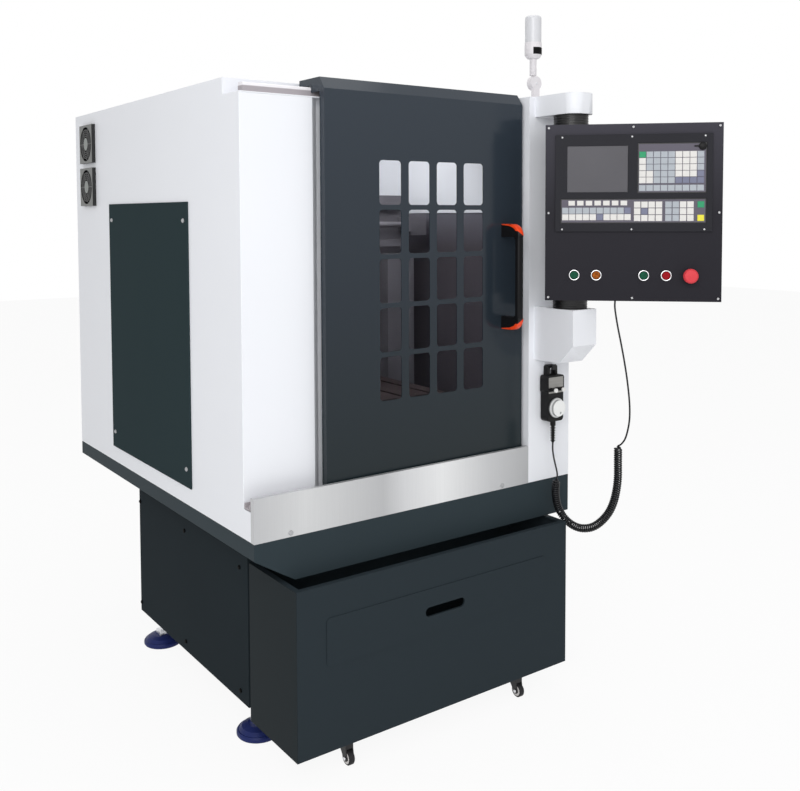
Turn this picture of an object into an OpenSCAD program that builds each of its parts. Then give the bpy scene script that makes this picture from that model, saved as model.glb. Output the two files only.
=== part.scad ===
// Enclosed CNC engraving machine on a stand with a roll-out chip tank.
// X runs to the right, Y to the back and Z up, in millimetres.
// Module coordinates start at the left side, the chassis front and the floor.

/* [Enclosure] */
// Width across the side panels
body_w = 1050; // [980:10:1200]
// Depth of the enclosure
body_d = 1310; // [1250:10:1450]
// Height of the roof above the floor
body_top = 1720; // [1680:10:1850]
// Height of the chassis deck above the floor
deck_z = 600; // [570:5:640]
// Thickness of the enclosure sheet
sheet = 3; // [2:0.5:4]
// Flat width of the fixed panel left of the door
fixed_w = 200; // [160:5:230]
// Set-back of the fixed panel behind the chassis front
fixed_y = 54; // [48:1:70]
// Depth of the slanted fold at the right edge of the fixed panel
fixed_fold = 24; // [12:1:30]
// Width of the flange behind that fold
fold_flange = 45; // [30:1:60]
// Set-back of the fascia above the door
fascia_y = 145; // [140:1:170]
// Height of that fascia
fascia_h = 42; // [36:1:60]
// Width of the column right of the door
column_w = 164; // [150:2:190]
// Width of the rim round the open top
roof_rim = 60; // [40:5:90]
// Depth of the electrical cabinet behind the work chamber
cabinet_d = 250; // [200:10:260]

/* [Front strip and rails] */
// Height of the steel strip at the door's foot
strip_h = 109; // [100:1:125]
// Sheet of the strip
strip_t = 2; // [1:0.5:3]
// Depth of the strip's side return
strip_return = 17; // [10:1:17]
// Width of the top rail
rail_w = 26; // [20:1:30]
// Height of the top rail
rail_h = 26; // [20:1:27]
// Middle of the top rail behind the chassis front
rail_y = 97; // [94:1:102]
// Start of the top rail from the left side
rail_x = 25; // [15:5:40]
// Height of the lower track's seat above the deck
track_seat = 76; // [70:1:80]
// Width of the lower track
track_w = 28; // [24:1:30]

/* [Chassis] */
// Thickness of the deck plate
deck_t = 6; // [4:1:10]
// Height of the side band
band_h = 42; // [36:1:60]
// Height of the front apron
apron_h = 109; // [100:1:115]
// Width of the slanted cut at the apron's left end
apron_cut = 110; // [60:5:160]
// Sheet of band and apron
tray_t = 4; // [3:0.5:6]

/* [Stand and feet] */
// Inset of stand and tank from the body sides
stand_inset = 75; // [60:5:90]
// Front of the stand behind the chassis front
stand_y0 = 190; // [185:5:230]
// Depth of the stand
stand_d = 775; // [700:5:850]
// Underside of the stand above the floor
stand_z = 98; // [85:1:120]
// Leg of the angle steel
angle_w = 50; // [40:1:60]
// Thickness of the angle steel
angle_t = 5; // [4:0.5:8]
// Diameter of a levelling pad
foot_d = 120; // [100:2:130]
// Height of a levelling pad
foot_h = 28; // [24:1:32]
// Diameter of a levelling stem
stem_d = 16; // [12:1:20]

/* [Chip tank] */
// Reach of the tank in front of the chassis
tank_out = 66; // [50:2:80]
// Rear face of the tank behind the chassis front
tank_back = 180; // [150:2:184]
// Underside of the tank above the floor
tank_z = 69; // [66:1:80]
// Gap between the tank's rim and the apron
tank_gap = 4; // [2:0.5:10]
// Sheet of the tank
tank_t = 4; // [3:0.5:5]
// Width of the folded rim
tank_rim = 16; // [10:1:24]
// Inset of the pressed field from the tank's sides
field_inset = 83; // [60:1:110]
// Height of the pressed field
field_h = 122; // [90:2:150]
// Height of the pressed field above the sheet
field_proud = 2; // [1:0.25:3]
// Length of the finger slot
slot_l = 132; // [110:2:160]
// Height of the finger slot
slot_h = 25; // [20:1:32]
// Height of the slot's middle above the tank's underside
slot_z = 274; // [240:2:300]
// Diameter of a caster wheel
wheel_d = 38; // [34:1:40]
// Width of a caster wheel
wheel_w = 16; // [12:1:18]
// Trail of a swivel caster
caster_trail = 14; // [10:1:16]
// Inset of the casters from the tank's sides
caster_x = 162; // [120:2:200]
// Swivel axis behind the tank's front
caster_y = 42; // [38:1:60]

/* [Door] */
// Front of the door behind the chassis front
door_y = 18; // [18:1:22]
// Depth of the door's folded edges
door_t = 22; // [16:1:24]
// Sheet of the door
door_s = 2.5; // [2:0.5:3]
// Gap beside the fixed panel's fold and the column
door_gap = 11; // [8:1:14]
// Overlap of the door over the fixed panel's fold
door_lap = 11; // [8:1:14]
// Height of the door's foot above the deck
door_foot = 100; // [97:1:106]
// Height of the hood's bevel
bevel_h = 30; // [24:1:36]
// Rise of the hood above the roof
hood_rise = 6; // [4:1:10]
// Depth of the hood behind the door's front
hood_d = 122; // [118:1:124]
// Columns of windows
win_cols = 4; // [2:1:4]
// Rows of windows
win_rows = 5; // [3:1:5]
// Width of a window
win_w = 69.5; // [50:0.5:75]
// Height of a window
win_h = 115; // [80:1:118]
// Corner radius of a window
win_r = 10; // [4:1:20]
// Spacing of the window columns
win_px = 93.5; // [85:0.5:100]
// Spacing of the window rows
win_pz = 128; // [122:1:132]
// Top of the first window row below the hood's top
win_drop = 202; // [190:2:230]
// Shift of the window block from the door's middle
win_shift = 8; // [0:1:12]
// Thickness of the tinted pane
pane_t = 4; // [3:0.5:6]
// Length of the door handle
handle_l = 298; // [240:2:340]
// Projection of the handle
handle_out = 72; // [64:1:90]
// Width of the handle
handle_w = 20; // [16:1:28]
// Depth of the handle's grip
grip_t = 16; // [14:1:20]
// Handle axis from the door's right edge
handle_in = 70; // [60:1:80]
// Middle of the handle above the deck
handle_z = 607; // [560:5:640]

/* [Control panel] */
// Width of the two carriers on the column
arm_w = 93; // [84:1:110]
// Carriers from the column's left edge
arm_in = 21; // [15:1:30]
// Reach of the carriers in front of the column
arm_out = 155; // [150:1:170]
// Height of the upper carrier
arm_h = 58; // [54:1:70]
// Corner radius of the upper carrier
arm_r = 36; // [20:1:40]
// Height of the lower carrier
bracket_h = 154; // [130:2:180]
// Chamfer under the lower carrier
bracket_cut = 53; // [40:1:65]
// Swivel axis in front of the column
pivot_out = 97.5; // [90:0.5:105]
// Radius of the swivel pins
pin_r = 15; // [12:1:18]
// Running clearance of pins and shafts
run_clear = 0.05; // [0.03:0.01:0.1]
// Diameter of the swivel collars
collar_d = 96; // [80:2:104]
// Height of the upper collar
collar_top = 32; // [24:1:40]
// Height of the lower collar
collar_low = 27; // [20:1:36]
// Swing of the panel at rest
swing = 45; // [30:1:60]
// Width of the face plate
face_w = 475; // [460:1:500]
// Height of the face plate
face_h = 487; // [475:1:520]
// Thickness of the face plate
face_t = 4; // [3:0.5:6]
// Swivel axis from the face plate's left edge
face_in = 70; // [64:1:80]
// Front of the face plate ahead of the swivel axis
face_out = 60; // [56:1:70]
// Reach of the housing behind the swivel axis
box_back = 52; // [50:1:70]
// Sheet of the housing
box_t = 2; // [1.5:0.5:3]
// Edge of the face plate outside the housing
face_lip = 8; // [5:1:12]
// Chamfer of the housing's rear edges
box_cut = 20; // [10:1:30]
// Width of the controller's bezel
bezel_w = 420; // [410:1:430]
// Height of the controller's bezel
bezel_h = 266; // [260:1:272]
// Thickness of the bezel
bezel_t = 6; // [5:0.5:8]
// Depth of the controller behind the face plate
control_d = 70; // [50:1:90]
// Width of the screen
screen_w = 164; // [150:1:170]
// Height of the screen
screen_h = 127; // [120:1:132]
// Height of a key above its field
key_h = 1; // [0.5:0.25:2]
// Diameter of the button rings
ring_d = 30; // [28:1:34]
// Diameter of the button caps
cap_d = 22; // [18:1:24]
// Diameter of the emergency stop's head
stop_d = 40; // [36:1:44]
// Travel of the buttons
push = 4; // [2:0.5:5]

/* [Side covers and fans] */
// Width of an access cover
cover_w = 613; // [560:1:650]
// Height of an access cover
cover_h = 769; // [700:1:800]
// Thickness of an access cover
cover_t = 4; // [2:0.5:6]
// Front edge of the side covers behind the chassis front
cover_y = 360; // [300:5:380]
// Lower edge of the covers above the deck
cover_z = 50; // [40:1:70]
// Width of a fan
fan_w = 120; // [110:1:126]
// Depth of a fan
fan_t = 25; // [20:1:38]
// Middle of the fans from the rear
fan_back = 142; // [130:2:160]
// Middle of the upper fan below the roof
fan_drop = 101; // [95:1:120]
// Spacing of the fans
fan_pitch = 141; // [130:1:160]
// Reach of the finger guard outside the panel
guard_out = 12; // [8:0.5:16]

/* [Signal lamp] */
// Diameter of the lamp
lamp_d = 50; // [40:1:60]
// Height of the lens
lens_h = 78; // [60:1:100]
// Height of the lamp's base
lamp_base_h = 46; // [36:1:60]
// Height of the folding joint above the roof
elbow_z = 48; // [44:1:60]
// Neck between joint and base
neck_h = 73; // [60:1:90]
// Diameter of the joint discs
elbow_d = 40; // [32:1:44]
// Lamp axis from the column's left edge
lamp_in = 70; // [60:1:90]
// Lamp axis behind the column's front
lamp_y = 60; // [45:1:90]

/* [Handwheel pendant] */
// Width of the pendant
pend_w = 66; // [60:1:76]
// Height of the pendant's body
pend_h = 135; // [130:1:145]
// Depth of the pendant's body
pend_t = 32; // [26:1:40]
// Pendant axis from the column's left edge
pend_in = 75; // [60:1:80]
// Body's back in front of the column
pend_gap = 4; // [3:0.5:10]
// Top of the pendant's body below the lower carrier
pend_drop = 48; // [42:1:60]
// Diameter of the handwheel
dial_d = 58; // [50:1:60]
// Diameter of the selector knobs
knob_d = 12; // [10:1:14]

/* [Mechanism] */
// Width of the bed casting
bed_w = 600; // [560:5:640]
// Height of the bed casting
bed_h = 140; // [120:2:160]
// Front of the bed behind the chassis front
bed_y = 165; // [160:5:190]
// Spacing of the table's guide rails
y_gauge = 400; // [340:5:440]
// Guide rail width
guide_w = 24; // [20:1:28]
// Guide rail height
guide_h = 24; // [20:1:28]
// Running gap of the guide carriages
guide_clear = 0.4; // [0.3:0.1:0.6]
// Width of the work table
table_w = 500; // [460:5:560]
// Depth of the work table
table_d = 480; // [440:5:520]
// Thickness of the work table
table_t = 45; // [36:1:60]
// Underside of the table above the bed
table_rise = 60; // [52:1:70]
// Slots in the table
table_slots = 5; // [3:1:7]
// Width of the gantry's uprights
post_w = 110; // [90:5:120]
// Depth of the gantry's uprights
post_d = 260; // [220:5:280]
// Height of the crossbeam's underside above the deck
beam_z = 650; // [620:5:680]
// Height of the crossbeam
beam_h = 200; // [180:5:220]
// Depth of the crossbeam
beam_d = 180; // [150:5:200]
// Gap between the gantry's uprights and the cabinet wall
gantry_gap = 160; // [140:5:180]
// Diameter of the spindle motor
spindle_d = 100; // [80:1:110]
// Length of the spindle motor
spindle_l = 290; // [260:5:320]

/* [Hidden] */
$fn = 48;

// Colours
c_white = [0.90, 0.91, 0.93];
c_slate = [0.19, 0.22, 0.25];
c_door = [0.25, 0.27, 0.31];
c_black = [0.10, 0.10, 0.11];
c_plate = [0.19, 0.19, 0.21];
c_steel = [0.78, 0.79, 0.80];
c_cast = [0.45, 0.48, 0.50];
c_blue = [0.10, 0.13, 0.30];

// Shared gaps and places
seat_gap = 0.3;
eps = 0.5;
mid_x = body_w / 2;
column_x = body_w - column_w;
ledge_z = body_top - fascia_h;
cabinet_y = body_d - cabinet_d;
apron_z = deck_z - apron_h;
band_z = deck_z - band_h;
tank_top = apron_z - tank_gap;
tank_x1 = body_w - stand_inset;
tank_mid_z = tank_z + slot_z;
stand_x1 = body_w - stand_inset;
stand_y1 = stand_y0 + stand_d;
stand_top = deck_z - deck_t;
foot_in = 50;
foot_y0 = stand_y0 + sheet + 39;
foot_y1 = stand_y1 - 59;
corner_plate = 78;
corner_t = 10;

// Door
door_x = fixed_w + fixed_fold - door_lap;
door_x1 = column_x - door_gap;
door_w = door_x1 - door_x;
door_z = deck_z + door_foot;
hood_z = body_top + hood_rise;
bevel_z = hood_z - bevel_h;
win_mid = (door_x + door_x1) / 2 + win_shift;
win_x0 = win_mid - ((win_cols - 1) * win_px + win_w) / 2;
win_top = hood_z - win_drop;
pane_edge = 35;
handle_x = door_x1 - handle_in;
handle_z0 = deck_z + handle_z - handle_l / 2;
bend_r = 34;
hanger_w = 50;
hanger_lip = 7;
hanger_x = [door_x + 0.4 * door_w, door_x1 - 45];

// Swing panel
arm_x = column_x + arm_in;
pivot_x = arm_x + arm_w / 2;
arm_z = body_top - arm_h;
face_top = arm_z - collar_top;
face_z = face_top - face_h;
bracket_top = face_z - collar_low;
bracket_z = bracket_top - bracket_h;
pin_l = 40;
box_x0 = face_lip - face_in;
box_x1 = face_w - face_in - face_lip;
box_z0 = face_z + face_lip;
box_z1 = face_top - face_lip;
bezel_x = (face_w - bezel_w) / 2 - face_in;
bezel_top = face_top - 29;
control_edge = 10;
screen_x = bezel_x + 32;
screen_top = bezel_top - 31;
screen_deep = 3;
keys_deep = 2;
upper_keys_x = bezel_x + 221;
upper_keys_top = bezel_top - 24;
lower_keys_x = bezel_x + 14;
lower_keys_top = bezel_top - 175;
button_z = face_top - 415.5;
button_x = [80, 140, 268, 328, 391];
ring_h = 6;
cap_out = 1;
stem_l = 30;
plug_x = 125;
plug_y = -10;
gland_z = face_z - 4;
gland_at = [pivot_x + cos(swing) * plug_x + sin(swing) * plug_y,
    -pivot_out - sin(swing) * plug_x + cos(swing) * plug_y];

// Side features
fan_y = body_d - fan_back;
fan_z = [body_top - fan_drop, body_top - fan_drop - fan_pitch];
fan_bore = fan_w - 8;
hub_d = 42;
blade_count = 7;
guard_w = fan_w + 5;
opening_edge = 30;
screw_d = 12;
screw_h = 4;

// Lamp and pendant
lamp_x = column_x + lamp_in;
elbow_y = lamp_y - 5;
disc_t = 10;
pend_x = column_x + pend_in;
pend_top = bracket_z - pend_drop;
pend_z = pend_top - pend_h;
pend_back = -pend_gap;
pend_front = pend_back - pend_t;
pend_step = 84;
loop_w = 38;
loop_h = 29;
loop_t = 8;
loop_y = pend_back - 18;
dial_z = pend_z + 40;
knob_z = pend_z + 94;
knob_x = 15.5;
knob_l = 18;
boot_y = pend_back - 20;
sleeve_l = 15;
relief_l = 64;

// Mechanism
bed_z = deck_z + bed_h;
bed_d = cabinet_y - 20 - bed_y;
table_z = bed_z + table_rise;
table_y = bed_y + 85;
beam_low = deck_z + beam_z;
beam_top = beam_low + beam_h;
post_x = mid_x - bed_w / 2 - 10 - post_w;
post_y = cabinet_y - gantry_gap - post_d;
beam_y = post_y + 40;
rail_proud = 20;
saddle_w = 200;
saddle_t = 40;
saddle_y = beam_y - rail_proud - saddle_t - 20;
ram_w = 160;
ram_t = 40;
ram_gap = 40;
ram_y = saddle_y - ram_gap - ram_t;
ram_drop = 240;
ram_rise = 170;
clamp_low = 40;
clamp_high = 170;
ram_z0 = beam_low - ram_drop;
ram_z1 = beam_low + ram_rise;
z_gauge = 110;
spindle_y = ram_y - spindle_d / 2 - 10;
spindle_z = beam_low - 290;
screw_r = 10;
shelf_z = beam_top + 100;

// Casters
wheel_z = wheel_d / 2 + seat_gap;
mount_t = 8;
mount_w = 54;
fork_top = tank_z - mount_t - seat_gap;
axle_r = 3;
cheek_t = 3;
cheek_gap = 0.5;
rear_caster_y = tank_back - 30;

// Corner reach of the part, for an origin at the middle of its box
reach_left = -guard_out;
reach_right = pivot_x + cos(swing) * (box_x1 - box_cut) + sin(swing) * box_back;
reach_front = -pivot_out - sin(swing) * (face_w - face_in) - cos(swing) * face_out;
reach_back = body_d + cover_t + screw_h;
origin_x = (reach_left + reach_right) / 2;
origin_y = (reach_front + reach_back) / 2;

// Cord route: straight stretch, curly stretch, tail into the pendant
cord_d = 5;
coil_d = 23.4;
cord_upper_route = [[gland_at[0], gland_at[1], gland_z - seat_gap], [gland_at[0], gland_at[1], gland_z - 22],
    [1038, -200, 1070], [1043, -209, 1020], [1047, -218, 970], [1051, -226, 915], [1054, -232, 855],
    [1054, -233, 810], [1052, -229, 777], [1049, -222, 750], [1044, -213, 734], [1041, -206, 730]];
cord_coil_route = [[1040, -204, 727], [1040, -204, 680], [1040, -204, 635], [1038, -200, 595],
    [1034, -191, 556], [1027, -176, 523], [1016, -153, 494], [1006, -129, 478], [996, -99, 472],
    [990, -68, 478], [986, -43, 494], [972, -35, 524], [964, -34, 559], [961, -37, 587], [962, -39, 608]];
cord_tail_route = [[962, -40, 611], [962, -42, 624], [961, -37, 645], [pend_x, boot_y - 5, 668],
    [pend_x, boot_y, 692], [pend_x, boot_y, pend_z - relief_l - seat_gap]];

// Places everything with the origin on the floor below the middle of the part
module at_origin() {
    translate([-origin_x, -origin_y, 0]) children();
}

// Frame of the swung panel, with its axis at X 0, Y 0
module on_panel() {
    at_origin() translate([pivot_x, -pivot_out, 0]) rotate([0, 0, -swing]) children();
}

// Copies a shape across the middle of the machine
module both_sides() {
    children();
    translate([body_w, 0, 0]) mirror([1, 0, 0]) children();
}

// Box from its low corner to its high corner
module block(low, high) {
    translate(low) cube(high - low);
}

// Flat outline in Y and Z, given thickness along X
module across(x0, x1) {
    translate([x0, 0, 0]) rotate([90, 0, 90]) linear_extrude(x1 - x0) children();
}

// Flat outline in X and Z, given thickness along Y
module along(y0, y1) {
    translate([0, y1, 0]) rotate([90, 0, 0]) linear_extrude(y1 - y0) children();
}

// Round rod along X
module rod_x(r, x0, x1) {
    translate([x0, 0, 0]) rotate([0, 90, 0]) cylinder(r = r, h = x1 - x0);
}

// Round rod along Y
module rod_y(r, y0, y1) {
    translate([0, y1, 0]) rotate([90, 0, 0]) cylinder(r = r, h = y1 - y0);
}

// Rectangle with round corners, from its low corner
module rounded(w, h, r) {
    translate([r, 0]) square([w - 2 * r, h]);
    translate([0, r]) square([w, h - 2 * r]);
    for (x = [r, w - r]) for (y = [r, h - r]) translate([x, y]) circle(r);
}

// Screw head that stands on the floor plane
module screw_head() {
    rotate_extrude() polygon([[0, 0], [screw_d / 2, 0], [screw_d / 2, screw_h / 2],
        [screw_d / 3, screw_h], [0, screw_h]]);
}

// Tube swept along a list of points with flat ends
function tangent(p, i) = let (a = p[max(i - 1, 0)], b = p[min(i + 1, len(p) - 1)]) (b - a) / norm(b - a);
function ring_at(p, i, r, sides) = let (
    t = tangent(p, i),
    u = cross(t, [0.9, 0.4, 0]) / norm(cross(t, [0.9, 0.4, 0])),
    v = cross(t, u))
    [for (k = [0 : sides - 1]) let (a = 360 * k / sides) p[i] + r * (cos(a) * u + sin(a) * v)];
module tube(p, d, sides) {
    n = len(p);
    points = [for (i = [0 : n - 1]) each ring_at(p, i, d / 2, sides)];
    walls = [for (i = [0 : n - 2]) for (k = [0 : sides - 1]) let (
        a = i * sides + k,
        b = i * sides + (k + 1) % sides) each [[a, a + sides, b], [b, a + sides, b + sides]]];
    start = [[for (k = [0 : sides - 1]) k]];
    finish = [[for (k = [sides - 1 : -1 : 0]) (n - 1) * sides + k]];
    polyhedron(points, concat(walls, start, finish));
}
// Points between the chosen ones on a smooth curve
function mixed(a, b, c, d, t) = 0.5 * (2 * b + (c - a) * t + (2 * a - 5 * b + 4 * c - d) * t * t
    + (3 * b - a - 3 * c + d) * t * t * t);
function smooth(p, steps) = [for (i = [0 : len(p) - 2]) for (k = [0 : steps - 1])
    mixed(p[max(i - 1, 0)], p[i], p[i + 1], p[min(i + 2, len(p) - 1)], k / steps), p[len(p) - 1]];

// Welded frame of angle steel with plates for the feet
module stand_frame() {
    x0 = stand_inset + sheet;
    x1 = stand_x1 - sheet;
    y0 = stand_y0 + sheet;
    y1 = stand_y1 - sheet;
    color(c_slate) at_origin() {
        both_sides() {
            for (y = [y0, y1 - angle_w]) block([x0, y, stand_z], [x0 + angle_t, y + angle_w, stand_top]);
            for (y = [y0, y1 - angle_t]) block([x0, y, stand_z], [x0 + angle_w, y + angle_t, stand_top]);
            for (z = [stand_z, stand_top - angle_w])
                block([x0, y0, z], [x0 + angle_t, y1, z + angle_w]);
            block([x0, y0, stand_top - angle_t], [x0 + angle_w, y1, stand_top]);
            for (y = [foot_y0, foot_y1])
                block([x0, y - corner_plate / 2, stand_z],
                    [x0 + corner_plate, y + corner_plate / 2, stand_z + corner_t]);
        }
        for (z = [stand_z, stand_top - angle_w]) block([x0, y1 - angle_t, z], [x1, y1, z + angle_w]);
        block([x0, y0, stand_top - angle_w], [x1, y0 + angle_t, stand_top]);
    }
}

// One sheet folded round the left, rear and right of the stand
module stand_skirt() {
    flange = 20;
    top = band_z + 20;
    color(c_slate) at_origin() {
        both_sides() {
            block([stand_inset, stand_y0, stand_z], [stand_inset + sheet, stand_y1, top]);
            block([stand_inset, stand_y0, stand_z], [stand_inset + flange, stand_y0 + sheet, top]);
        }
        block([stand_inset, stand_y1 - sheet, stand_z], [stand_x1, stand_y1, top]);
    }
}

module at_feet() {
    at_origin() both_sides() for (y = [foot_y0, foot_y1]) translate([stand_inset + foot_in, y, 0]) children();
}

// Domed levelling pads
module foot_pads() {
    r = foot_d / 2;
    color(c_blue) at_feet() rotate_extrude() polygon([[0, 0], [r - 2, 0], [r, 3], [r, foot_h * 0.35],
        [r - 3, foot_h * 0.5], [r - 6, foot_h * 0.5], [r - 14, foot_h * 0.8],
        [r * 0.5, foot_h], [0, foot_h]]);
}

// Stems with a square hub on the pad and a lock nut under the stand
module foot_stems() {
    hub = 34;
    hub_h = 14;
    nut_h = 12;
    color(c_steel) at_feet() {
        translate([-hub / 2, -hub / 2, foot_h]) cube([hub, hub, hub_h]);
        translate([0, 0, foot_h]) cylinder(d = stem_d, h = stand_z - foot_h);
        translate([0, 0, stand_z - nut_h]) cylinder(d = stem_d * 1.8, h = nut_h, $fn = 6);
    }
}

// Deck with side band and front apron, cut open above the tank
module chassis_tray() {
    drain_w = 450;
    drain_y = [70, 150];
    color(c_slate) at_origin() {
        difference() {
            block([0, 0, deck_z - deck_t], [body_w, body_d, deck_z]);
            block([mid_x - drain_w / 2, drain_y[0], deck_z - deck_t - eps],
                [mid_x + drain_w / 2, drain_y[1], deck_z + eps]);
        }
        both_sides() block([0, 0, band_z], [tray_t, body_d, deck_z - deck_t]);
        block([0, body_d - tray_t, band_z], [body_w, body_d, deck_z - deck_t]);
        along(0, tray_t) polygon([[0, deck_z - deck_t], [0, band_z], [apron_cut, apron_z], [body_w, apron_z],
            [body_w, deck_z - deck_t]]);
    }
}

// Opening behind an access cover, in the cover's own plane
module cover_hole() {
    translate([opening_edge, opening_edge]) square([cover_w - 2 * opening_edge, cover_h - 2 * opening_edge]);
}

// Side sheet folded to the fixed front panel
module left_panel() {
    s = sheet;
    sill_z = deck_z + track_seat - 2;
    color(c_white) at_origin() {
        across(0, s) difference() {
            polygon([[strip_return, deck_z], [strip_return, sill_z], [fixed_y, sill_z], [fixed_y, ledge_z],
                [fascia_y, ledge_z], [fascia_y, body_top], [body_d, body_top], [body_d, deck_z]]);
            translate([cover_y, deck_z + cover_z]) cover_hole();
            for (z = fan_z) translate([fan_y, z]) circle(d = fan_bore);
        }
        translate([0, 0, deck_z]) linear_extrude(ledge_z - s - deck_z) polygon([
            [0, fixed_y], [fixed_w, fixed_y],
            [fixed_w + fixed_fold, fixed_y + fixed_fold],
            [fixed_w + fixed_fold + fold_flange, fixed_y + fixed_fold],
            [fixed_w + fixed_fold + fold_flange, fixed_y + fixed_fold + s],
            [fixed_w + fixed_fold - s * tan(22.5), fixed_y + fixed_fold + s],
            [fixed_w - s * tan(22.5), fixed_y + s], [0, fixed_y + s]]);
    }
}

module right_panel() {
    color(c_white) at_origin() across(body_w - sheet, body_w) difference() {
        translate([fascia_y, deck_z]) square([body_d - fascia_y, body_top - deck_z]);
        translate([cover_y, deck_z + cover_z]) cover_hole();
    }
}

module rear_panel() {
    color(c_white) at_origin() along(body_d - sheet, body_d) difference() {
        translate([sheet, deck_z]) square([body_w - 2 * sheet, body_top - sheet - deck_z]);
        translate([mid_x - cover_w / 2, deck_z + cover_z]) cover_hole();
    }
}

// Top rim with the folded fascia and the ledge that carries the door rail
module roof_panel() {
    s = sheet;
    color(c_white) at_origin() {
        difference() {
            block([s, fascia_y, body_top - s], [body_w - s, body_d, body_top]);
            block([s + roof_rim, fascia_y + roof_rim, body_top - 2 * s],
                [body_w - s - roof_rim, cabinet_y - roof_rim, body_top + s]);
        }
        block([s, fascia_y, ledge_z - s], [column_x, fascia_y + s, body_top]);
        block([s, fixed_y, ledge_z - s], [column_x, fascia_y + s, ledge_z]);
    }
}

// Folded column that carries the panel
module front_column() {
    s = sheet;
    color(c_white) at_origin() {
        block([column_x, 0, deck_z], [body_w, s, body_top]);
        block([column_x, 0, deck_z], [column_x + s, fascia_y, body_top]);
        block([body_w - s, 0, deck_z], [body_w, fascia_y, body_top]);
        block([column_x, 0, body_top - s], [body_w, fascia_y, body_top]);
    }
}

// Steel strip with a folded top and left edge
module front_strip() {
    t = strip_t;
    top = deck_z + strip_h;
    lip = 12;
    color(c_steel) at_origin() {
        block([0, 0, deck_z], [column_x, t, top]);
        block([0, 0, deck_z], [t, strip_return, top]);
        block([0, 0, top - t], [column_x, lip, top]);
    }
}

// Top rail on the ledge and lower track on its own foot
module door_rails() {
    y0 = fixed_y - 4 - track_w;
    base = deck_z + track_seat;
    web = 6;
    wall = 4;
    end = column_x - 1;
    color(c_steel) at_origin() {
        difference() {
            block([rail_x, rail_y - rail_w / 2, ledge_z],
                [column_x - door_gap, rail_y + rail_w / 2, ledge_z + rail_h]);
            for (y = [rail_y - rail_w / 2, rail_y + rail_w / 2]) translate([0, y, ledge_z + rail_h])
                rotate([45, 0, 0]) cube([3 * body_w, 4, 4], center = true);
        }
        block([0, y0, base], [end, y0 + track_w, base + wall]);
        for (y = [y0, y0 + track_w - wall]) block([0, y, base], [end, y + wall, base + 14]);
        block([sheet + 1, y0 + (track_w - web) / 2, deck_z], [end, y0 + (track_w + web) / 2, base + wall]);
        block([sheet + 1, y0, deck_z], [end, y0 + track_w, deck_z + wall]);
    }
}

// Screwed covers on the left, right and rear
module access_covers() {
    z0 = deck_z + cover_z;
    color(c_slate) at_origin() {
        both_sides() block([-cover_t, cover_y, z0], [0, cover_y + cover_w, z0 + cover_h]);
        block([mid_x - cover_w / 2, body_d, z0], [mid_x + cover_w / 2, body_d + cover_t, z0 + cover_h]);
    }
}

// Heads on the covers, the strip and the stand
module housing_screws() {
    in_h = 26;
    in_v = 50;
    cover_low = deck_z + cover_z + in_v;
    cover_high = deck_z + cover_z + cover_h - in_v;
    color(c_steel) at_origin() {
        for (z = [cover_low, cover_high]) {
            both_sides() for (y = [cover_y + in_h, cover_y + cover_w - in_h])
                translate([-cover_t, y, z]) rotate([0, -90, 0]) screw_head();
            for (x = [-1, 1]) translate([mid_x + x * (cover_w / 2 - in_h), body_d + cover_t, z])
                rotate([-90, 0, 0]) screw_head();
        }
        for (x = [99, column_x - 101]) translate([x, 0, deck_z + 10]) rotate([90, 0, 0]) screw_head();
        both_sides() for (y = [stand_y0 + 46, (stand_y0 + stand_y1) / 2 + 20, stand_y1 - 10])
            for (z = [stand_z + 29, band_z - 99])
                translate([stand_inset, y, z]) rotate([0, -90, 0]) screw_head();
    }
}

// Square fan housings with a spider and shaft, inside the left panel
module fan_frames() {
    x1 = sheet + fan_t;
    color(c_black) at_origin() for (z = fan_z) translate([0, fan_y, z]) {
        difference() {
            block([sheet, -fan_w / 2, -fan_w / 2], [x1, fan_w / 2, fan_w / 2]);
            rod_x(fan_bore / 2, sheet - eps, x1 + eps);
        }
        for (a = [30, 150, 270]) rotate([a, 0, 0]) block([x1 - 5, -3, 0], [x1 - 1, 3, fan_bore / 2 + 1]);
        rod_x(hub_d / 2, x1 - 5.5, x1 - 0.5);
        rod_x(axle_r, sheet + 5, x1 - 3);
    }
}

// Impeller on the shaft, blades set at an angle
module impeller(z) {
    x0 = sheet + 4;
    x1 = sheet + fan_t - 5.5 - seat_gap;
    reach = fan_bore / 2 - 3;
    color(c_black) at_origin() translate([0, fan_y, z]) difference() {
        union() {
            rod_x(hub_d / 2, x0, x1);
            for (k = [0 : blade_count - 1]) rotate([360 * k / blade_count, 0, 0])
                translate([(x0 + x1) / 2, 0, hub_d / 2 - 2]) rotate([0, 0, 40])
                    translate([-7, -1, 0]) cube([14, 2, reach - hub_d / 2 + 2]);
        }
        rod_x(axle_r + run_clear, x0 - eps, x1 + eps);
    }
}
module fan_impeller_upper() { impeller(fan_z[0]); }
module fan_impeller_lower() { impeller(fan_z[1]); }

// Square edge of a finger guard round its bore
module guard_frame() {
    difference() {
        square(guard_w, center = true);
        circle(fan_bore / 2);
    }
}

// Rings and ribs of a finger guard with the disc over the hub
module guard_grid() {
    wire = 3;
    circle(hub_d / 2);
    for (r = [27, 33.5, 40, 46.5]) difference() {
        circle(r + wire / 2);
        circle(r - wire / 2);
    }
    for (a = [0, 60, 120]) rotate(a) square([fan_bore + 2, wire], center = true);
}

// Boxed finger guards over the fans
module fan_guards() {
    color([0.25, 0.26, 0.27]) at_origin() for (z = fan_z) translate([0, fan_y, z]) {
        across(-guard_out, 0) guard_frame();
        across(-guard_out + 0.5, -guard_out + 4) guard_grid();
    }
}

// Wall between the chamber and the cabinet
module cabinet_wall() {
    color(c_white) at_origin()
        block([sheet, cabinet_y, deck_z], [body_w - sheet, cabinet_y + sheet, body_top - sheet]);
}

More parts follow.
